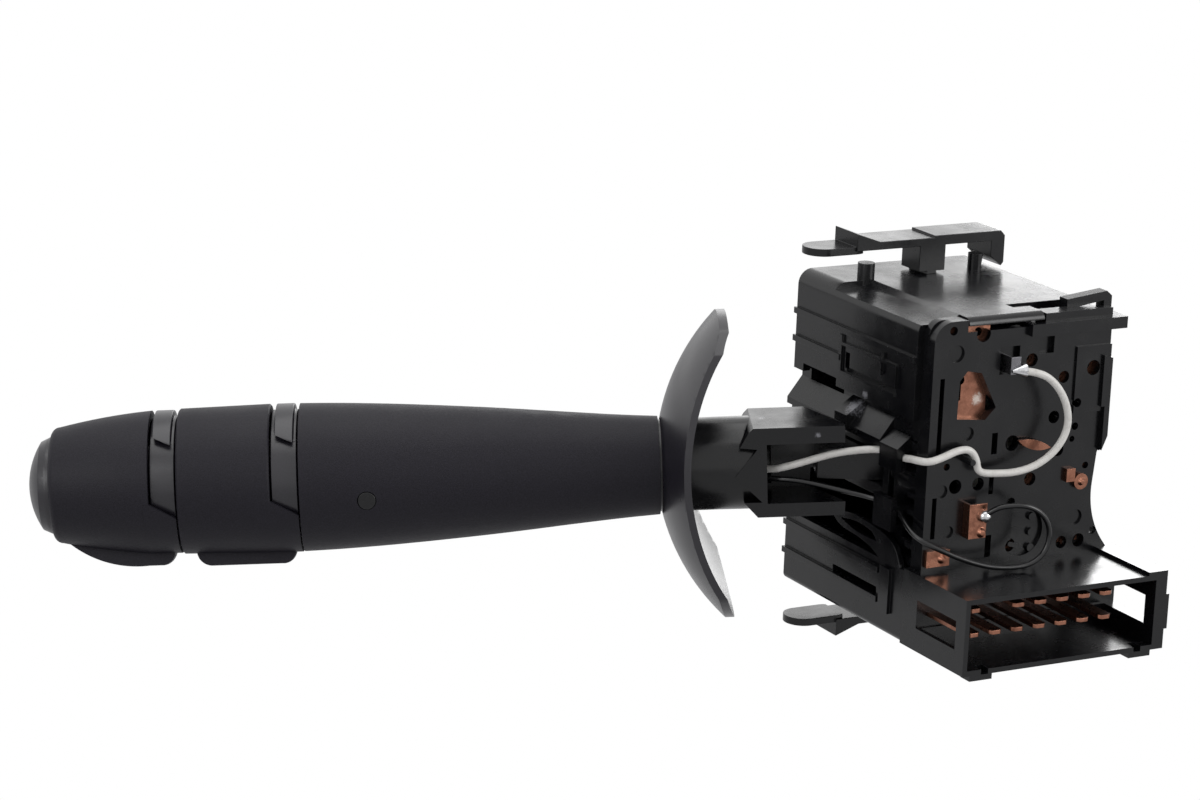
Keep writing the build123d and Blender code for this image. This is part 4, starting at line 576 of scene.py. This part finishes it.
def seen_share(material: bpy.types.Material | bpy.types.World, mirrored: float) -> bpy.types.NodeSocket:
    """Tell apart the rays that look at a backdrop from those that light the object.

    Args:
        material: The backdrop's material or world.
        mirrored: Share of the white that glossy surfaces show.

    Returns:
        A value of 1 for camera and transmission rays, mirrored for glossy rays and 0 for the rest.
    """
    ray = add_node(material, "ShaderNodeLightPath")
    direct = add_node(material, "ShaderNodeMath", {"operation": "MAXIMUM"}, {
        0: ray.outputs["Is Camera Ray"], 1: ray.outputs["Is Transmission Ray"],
    })
    glossy = add_node(material, "ShaderNodeMath", {"operation": "MULTIPLY"}, {
        0: ray.outputs["Is Glossy Ray"], 1: mirrored,
    })
    share = add_node(material, "ShaderNodeMath", {"operation": "MAXIMUM"}, {
        0: direct.outputs["Value"], 1: glossy.outputs["Value"],
    })
    return share.outputs["Value"]


@dataclass
class Studio:
    """A pale floor, soft lamps and the camera.

    Attributes:
        camera_place: Where the camera stands.
        azimuth_deg: Its heading; 0 looks along +Y.
        elevation_deg: How far it looks down.
        roll_deg: Its turn about its own line of sight.
        lens_mm: Focal length on a 36 mm wide sensor.
        floor_gap: How far under the object the floor lies.
        floor_size: The floor's edge length.
        floor_mirrored: Share of the floor's white that gloss shows; the rest is the floor as lit.
    """

    camera_place: tuple[float, float, float] = (-0.40065, -0.56369, 0.18636)
    azimuth_deg: float = -28.369
    elevation_deg: float = 14.794
    roll_deg: float = 2.171
    lens_mm: float = 106.92
    floor_gap: float = 0.03
    floor_size: float = 6.0
    floor_mirrored: float = 0.35

    def camera(self) -> None:
        """Place the camera and make it the scene's camera."""
        turn = Euler((radians(90 - self.elevation_deg), 0.0, radians(self.azimuth_deg)), "XYZ").to_matrix()
        roll = Matrix.Rotation(radians(self.roll_deg), 3, "Z")
        data = bpy.data.cameras.new("camera")
        data.lens = self.lens_mm
        data.sensor_width = 36.0
        data.clip_start = 0.01
        camera = bpy.data.objects.new("camera", data)
        camera.matrix_world = Matrix.Translation(self.camera_place) @ (turn @ roll).to_4x4()
        bpy.context.scene.collection.objects.link(camera)
        bpy.context.scene.camera = camera

    def floor(self) -> None:
        """Lay the pale floor, white where the camera sees it."""
        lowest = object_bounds()[0][2]
        bpy.ops.object.select_all(action="DESELECT")
        bpy.ops.mesh.primitive_plane_add(size=self.floor_size, location=(0, 0, lowest - self.floor_gap))
        floor = bpy.context.active_object
        floor.name = "studio_floor"
        material = bpy.data.materials.new("studio_floor")
        material.use_nodes = True
        material.node_tree.nodes.clear()
        matt = add_node(material, "ShaderNodeBsdfDiffuse", {}, {"Color": linear("c4c4c6")})
        white = add_node(material, "ShaderNodeEmission", {}, {"Color": (1, 1, 1, 1), "Strength": 1.0})
        mixed = add_node(material, "ShaderNodeMixShader", {}, {
            0: seen_share(material, self.floor_mirrored),
            1: matt.outputs["BSDF"],
            2: white.outputs["Emission"],
        })
        add_node(material, "ShaderNodeOutputMaterial", {}, {"Surface": mixed.outputs["Shader"]})
        floor.data.materials.append(material)
        floor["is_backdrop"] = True

    def lights(self) -> None:
        """Hang the lamps and set the world's light."""
        for lamp in LAMPS:
            lamp.hang()
        world = bpy.context.scene.world or bpy.data.worlds.new("world")
        bpy.context.scene.world = world
        world.use_nodes = True
        world.node_tree.nodes.clear()
        soft = add_node(world, "ShaderNodeBackground", {}, {"Color": (1, 1, 1, 1), "Strength": 0.4})
        white = add_node(world, "ShaderNodeBackground", {}, {"Color": (1, 1, 1, 1), "Strength": 1.0})
        mixed = add_node(world, "ShaderNodeMixShader", {}, {
            0: seen_share(world, 1.0), 1: soft.outputs["Background"], 2: white.outputs["Background"],
        })
        add_node(world, "ShaderNodeOutputWorld", {}, {"Surface": mixed.outputs["Shader"]})
        bpy.context.scene.view_settings.view_transform = "Standard"

    def build(self) -> None:
        """Set up the camera, the floor and the lights."""
        self.camera()
        self.floor()
        self.lights()


def stalk_point(along: float, near: float, up: float) -> Vector:
    """Give a point by its place on the stalk.

    Args:
        along: Millimetres along the stalk from the pivot.
        near: Millimetres towards the near side.
        up: Millimetres upwards, square to the stalk.

    Returns:
        The point in metres.
    """
    return (PIVOT + STALK_DIR * along + NEAR_DIR * near + UP_DIR * up) * MM


STALK_SWEEP = radians(26.2)
STALK_DROP = radians(3.66)
PIVOT = Vector((-35.6, 0.0, 0.0))
STALK_DIR = Vector((
    -cos(STALK_DROP) * cos(STALK_SWEEP), cos(STALK_DROP) * sin(STALK_SWEEP), -sin(STALK_DROP)
))
NEAR_DIR = Vector((-sin(STALK_SWEEP), -cos(STALK_SWEEP), 0.0))
UP_DIR = STALK_DIR.cross(NEAR_DIR)


@dataclass
class WirePair:
    """The white and the black wire, each in a loop on the plate and a lead inside the lever.

    Attributes:
        white_radius: Outer radius of the white insulation.
        black_radius: Outer radius of the black insulation.
        core_end: How far along the stalk the leads run.
        side: How far each lead lies off the stalk's axis.
    """

    white_radius: float = 0.72
    black_radius: float = 0.52
    core_end: float = 152.0
    side: float = 0.75
    white_leaving: Vector = field(default_factory=lambda: Vector((-40.5, -8.3, 4.5)))
    white_arriving: Vector = field(default_factory=lambda: Vector((-45.6, -4.3, 3.3)))
    black_leaving: Vector = field(default_factory=lambda: Vector((-40.6, -7.0, -5.4)))
    black_arriving: Vector = field(default_factory=lambda: Vector((-45.2, -3.6, -4.5)))

    def white_loop(self) -> list[Vector]:
        """Give the white wire's route on the plate, in millimetres."""
        return [
            Vector((-20.7, -27.1, 22.8)),
            Vector((-17.6, -28.8, 22.7)),
            Vector((-14.0, -29.2, 20.2)),
            Vector((-11.2, -29.2, 16.0)),
            Vector((-10.3, -29.0, 11.4)),
            Vector((-12.2, -28.8, 7.4)),
            Vector((-15.8, -28.3, 4.4)),
            Vector((-20.4, -27.7, 3.0)),
            Vector((-25.2, -26.9, 3.0)),
            Vector((-28.5, -26.1, 3.3)),
            Vector((-28.9, -25.9, 6.1)),
            Vector((-30.4, -25.8, 8.0)),
            Vector((-33.0, -25.8, 8.1)),
            Vector((-36.4, -25.7, 6.9)),
            Vector((-39.3, -25.5, 6.2)),
            Vector((-40.2, -23.0, 6.0)),
            Vector((-39.7, -20.0, 5.5)),
            Vector((-39.1, -17.2, 4.8)),
            Vector((-39.2, -13.9, 4.5)),
            Vector((-39.1, -10.8, 4.6)),
            self.white_leaving,
            (self.white_leaving + self.white_arriving) * 0.5,
        ]

    def black_loop(self) -> list[Vector]:
        """Give the black wire's route on the plate, in millimetres."""
        return [
            Vector((-26.5, -27.0, -5.0)),
            Vector((-25.3, -28.1, -3.5)),
            Vector((-22.4, -29.3, -2.9)),
            Vector((-18.6, -30.2, -3.2)),
            Vector((-15.2, -30.5, -5.6)),
            Vector((-13.8, -30.5, -9.2)),
            Vector((-14.8, -30.5, -12.8)),
            Vector((-17.8, -30.4, -14.9)),
            Vector((-22.2, -30.0, -15.2)),
            Vector((-27.0, -29.3, -14.7)),
            Vector((-32.4, -28.0, -12.9)),
            Vector((-37.0, -26.4, -10.7)),
            Vector((-39.7, -24.9, -9.3)),
            Vector((-40.3, -22.2, -8.2)),
            Vector((-39.8, -19.2, -7.1)),
            Vector((-39.1, -16.3, -6.3)),
            Vector((-39.2, -12.9, -5.9)),
            Vector((-39.1, -9.7, -5.7)),
            self.black_leaving,
            (self.black_leaving + self.black_arriving) * 0.5,
        ]

    def lead(self, white: bool) -> list[Vector]:
        """Give a lead's route from the split into the lever, in millimetres.

        Args:
            white: True for the white lead, False for the black one.

        Returns:
            The route's points.
        """
        if white:
            first = [
                (self.white_leaving + self.white_arriving) * 0.5,
                self.white_arriving,
                Vector((-49.6, -1.7, 1.7)),
                Vector((-53.2, 0.8, 0.0)),
            ]
            inside = [(20.4, 5.0, -0.4), (25.6, 2.7, 0.2)]
        else:
            first = [
                (self.black_leaving + self.black_arriving) * 0.5,
                self.black_arriving,
                Vector((-48.6, -1.1, -3.7)),
                Vector((-52.2, 1.3, -3.1)),
            ]
            inside = [(20.2, 4.6, -2.2), (25.4, 2.3, -1.4)]
        level = self.side if white else -self.side
        inside += [
            (31.0, 0.5, level),
            (38.0, 0.0, level),
            (52.0, 0.1, level),
            (80.0, 0.0, level),
            (116.0, 0.1, level),
            (self.core_end, 0.0, level),
        ]
        return first + [stalk_point(*place) / MM for place in inside]

    def tube(self, name: str, route: list[Vector], radius: float) -> bpy.types.Object:
        """Make a wire's mesh along a smooth curve through its route.

        Args:
            name: The piece's name.
            route: The control points in millimetres.
            radius: The insulation's radius.

        Returns:
            The mesh object.
        """
        data = bpy.data.curves.new(name, "CURVE")
        data.dimensions = "3D"
        data.resolution_u = 12
        data.bevel_depth = radius * MM
        data.bevel_resolution = 5
        data.use_fill_caps = True
        spline = data.splines.new("NURBS")
        spline.points.add(len(route) - 1)
        for control, place in zip(spline.points, route):
            control.co = (*(place * MM), 1.0)
        spline.order_u = 3
        spline.use_endpoint_u = True
        line = bpy.data.objects.new(f"{name}_line", data)
        bpy.context.scene.collection.objects.link(line)
        mesh = bpy.data.meshes.new_from_object(line.evaluated_get(bpy.context.evaluated_depsgraph_get()))
        bpy.data.objects.remove(line)
        piece = bpy.data.objects.new(name, mesh)
        bpy.context.scene.collection.objects.link(piece)
        select_only(piece)
        bpy.ops.object.shade_smooth_by_angle(angle=radians(50))
        return piece

    def build(self, white: bpy.types.Material, black: bpy.types.Material) -> None:
        """Make both wires, each as a loop on the plate and a lead into the lever.

        Args:
            white: The white insulation.
            black: The black insulation.
        """
        plans = (
            ("white", self.white_radius, self.white_loop(), self.lead(True), white, Slot.WHITE_WIRE),
            ("black", self.black_radius, self.black_loop(), self.lead(False), black, Slot.BLACK_WIRE),
        )
        for name, radius, loop, lead, material, slot in plans:
            on_plate = self.tube(f"{name}_wire_loop", loop, radius)
            dress(on_plate, material)
            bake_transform(on_plate)
            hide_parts(f"{name}_wire")
            in_lever = self.tube(f"{name}_wire_lead", lead, radius)
            dress(in_lever, material)
            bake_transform(in_lever)
            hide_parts(f"{name}_lead")
            log.info("%s wire: loop and lead", name)


@dataclass
class Housing:
    """The two shells, the contact carrier, the latches and what moves between them.

    Attributes:
        shell_edge: Rounding of the shells' edges, in millimetres.
        fine_edge: Rounding of the small features' edges, in millimetres.
    """

    shell_edge: float = 0.25
    fine_edge: float = 0.12

    def build(self, plastic: bpy.types.Material, inner: bpy.types.Material) -> None:
        """Dress the moulded pieces.

        Args:
            plastic: The housing's plastic.
            inner: The sliding pieces' plastic.
        """
        for node in ("upper_shell", "lower_shell", "upper_latch", "lower_latch"):
            moulded_copy(node, plastic, self.shell_edge)
        for node in ("contact_carrier", "rocker"):
            moulded_copy(node, plastic, self.fine_edge)
        for node in ("contact_slider", "detent_block", "turn_plunger", "dip_plunger"):
            moulded_copy(node, inner, self.fine_edge)


@dataclass
class Contacts:
    """The blades, tracks, terminals, springs and solder joints.

    Attributes:
        edge: Rounding of the metal's edges, in millimetres.
        horn_travel: How far the horn button goes in, in millimetres; not used.
    """

    edge: float = 0.06
    horn_travel: float = 2.0

    def build(
        self, tinned: bpy.types.Material, copper: bpy.types.Material,
        solder: bpy.types.Material, steel: bpy.types.Material,
    ) -> None:
        """Dress the metal pieces.

        Args:
            tinned: The wire terminals' metal.
            copper: The blades' and tracks' metal.
            solder: The joints' metal.
            steel: The springs' and the pin's metal.
        """
        for node in ("connector_blades", "contact_tracks", "plate_terminals"):
            moulded_copy(node, copper, self.edge)
        moulded_copy("wire_terminals", tinned, self.edge)
        moulded_copy("solder_joints", solder, self.edge)
        for node in ("pivot_pin", "turn_spring", "dip_spring", "core_tube"):
            moulded_copy(node, steel, self.edge)
        self.horn_spring(steel)

    def horn_spring(self, steel: bpy.types.Material) -> None:
        """Dress the horn button's spring.

        Args:
            steel: The spring's metal.
        """
        spring = moulded_copy("horn_spring", steel, self.edge)
        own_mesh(spring)


@dataclass
class Lever:
    """The tube, the shroud, the stem, the collars and the end button.

    Attributes:
        edge: Rounding of the mouldings' edges, in millimetres.
    """

    edge: float = 0.2

    def build(
        self, grained: bpy.types.Material, satin: bpy.types.Material,
        smooth: bpy.types.Material, inner: bpy.types.Material,
    ) -> None:
        """Dress the lever.

        Args:
            grained: The handle's plastic.
            satin: The plastic of the shroud, the button and the index rings.
            smooth: The lever tube's plastic.
            inner: The hidden insulating pieces' plastic.
        """
        moulded_copy("lever_tube", smooth, self.edge)
        moulded_copy("stem_plug", smooth, self.edge)
        for node in ("shroud", "horn_button", "inner_index_ring", "outer_index_ring"):
            moulded_copy(node, satin, self.edge)
        for node in ("stem", "inner_sleeve", "fog_collar", "light_collar", "light_drive_tube", "fog_drive_tube"):
            moulded_copy(node, grained, self.edge)
        moulded_copy("horn_contacts", inner, 0.0)


def main() -> None:
    """Build the scene in order: camera and wires first, then the finishes of every piece."""
    logging.basicConfig(level=logging.INFO, format="%(name)s: %(message)s")
    Studio().build()
    WirePair().build(WHITE_PVC.build(), BLACK_PVC.build())
    housing_plastic = HOUSING_NYLON.build()
    inner_plastic = INNER_ACETAL.build()
    Housing().build(housing_plastic, inner_plastic)
    Contacts().build(TERMINAL_COPPER.build(), BARE_COPPER.build(), BRIGHT_SOLDER.build(), DRAWN_STEEL.build())
    Lever().build(STALK_ABS.build(), SHROUD_ABS.build(), housing_plastic, inner_plastic)


if __name__ == "__main__":
    main()
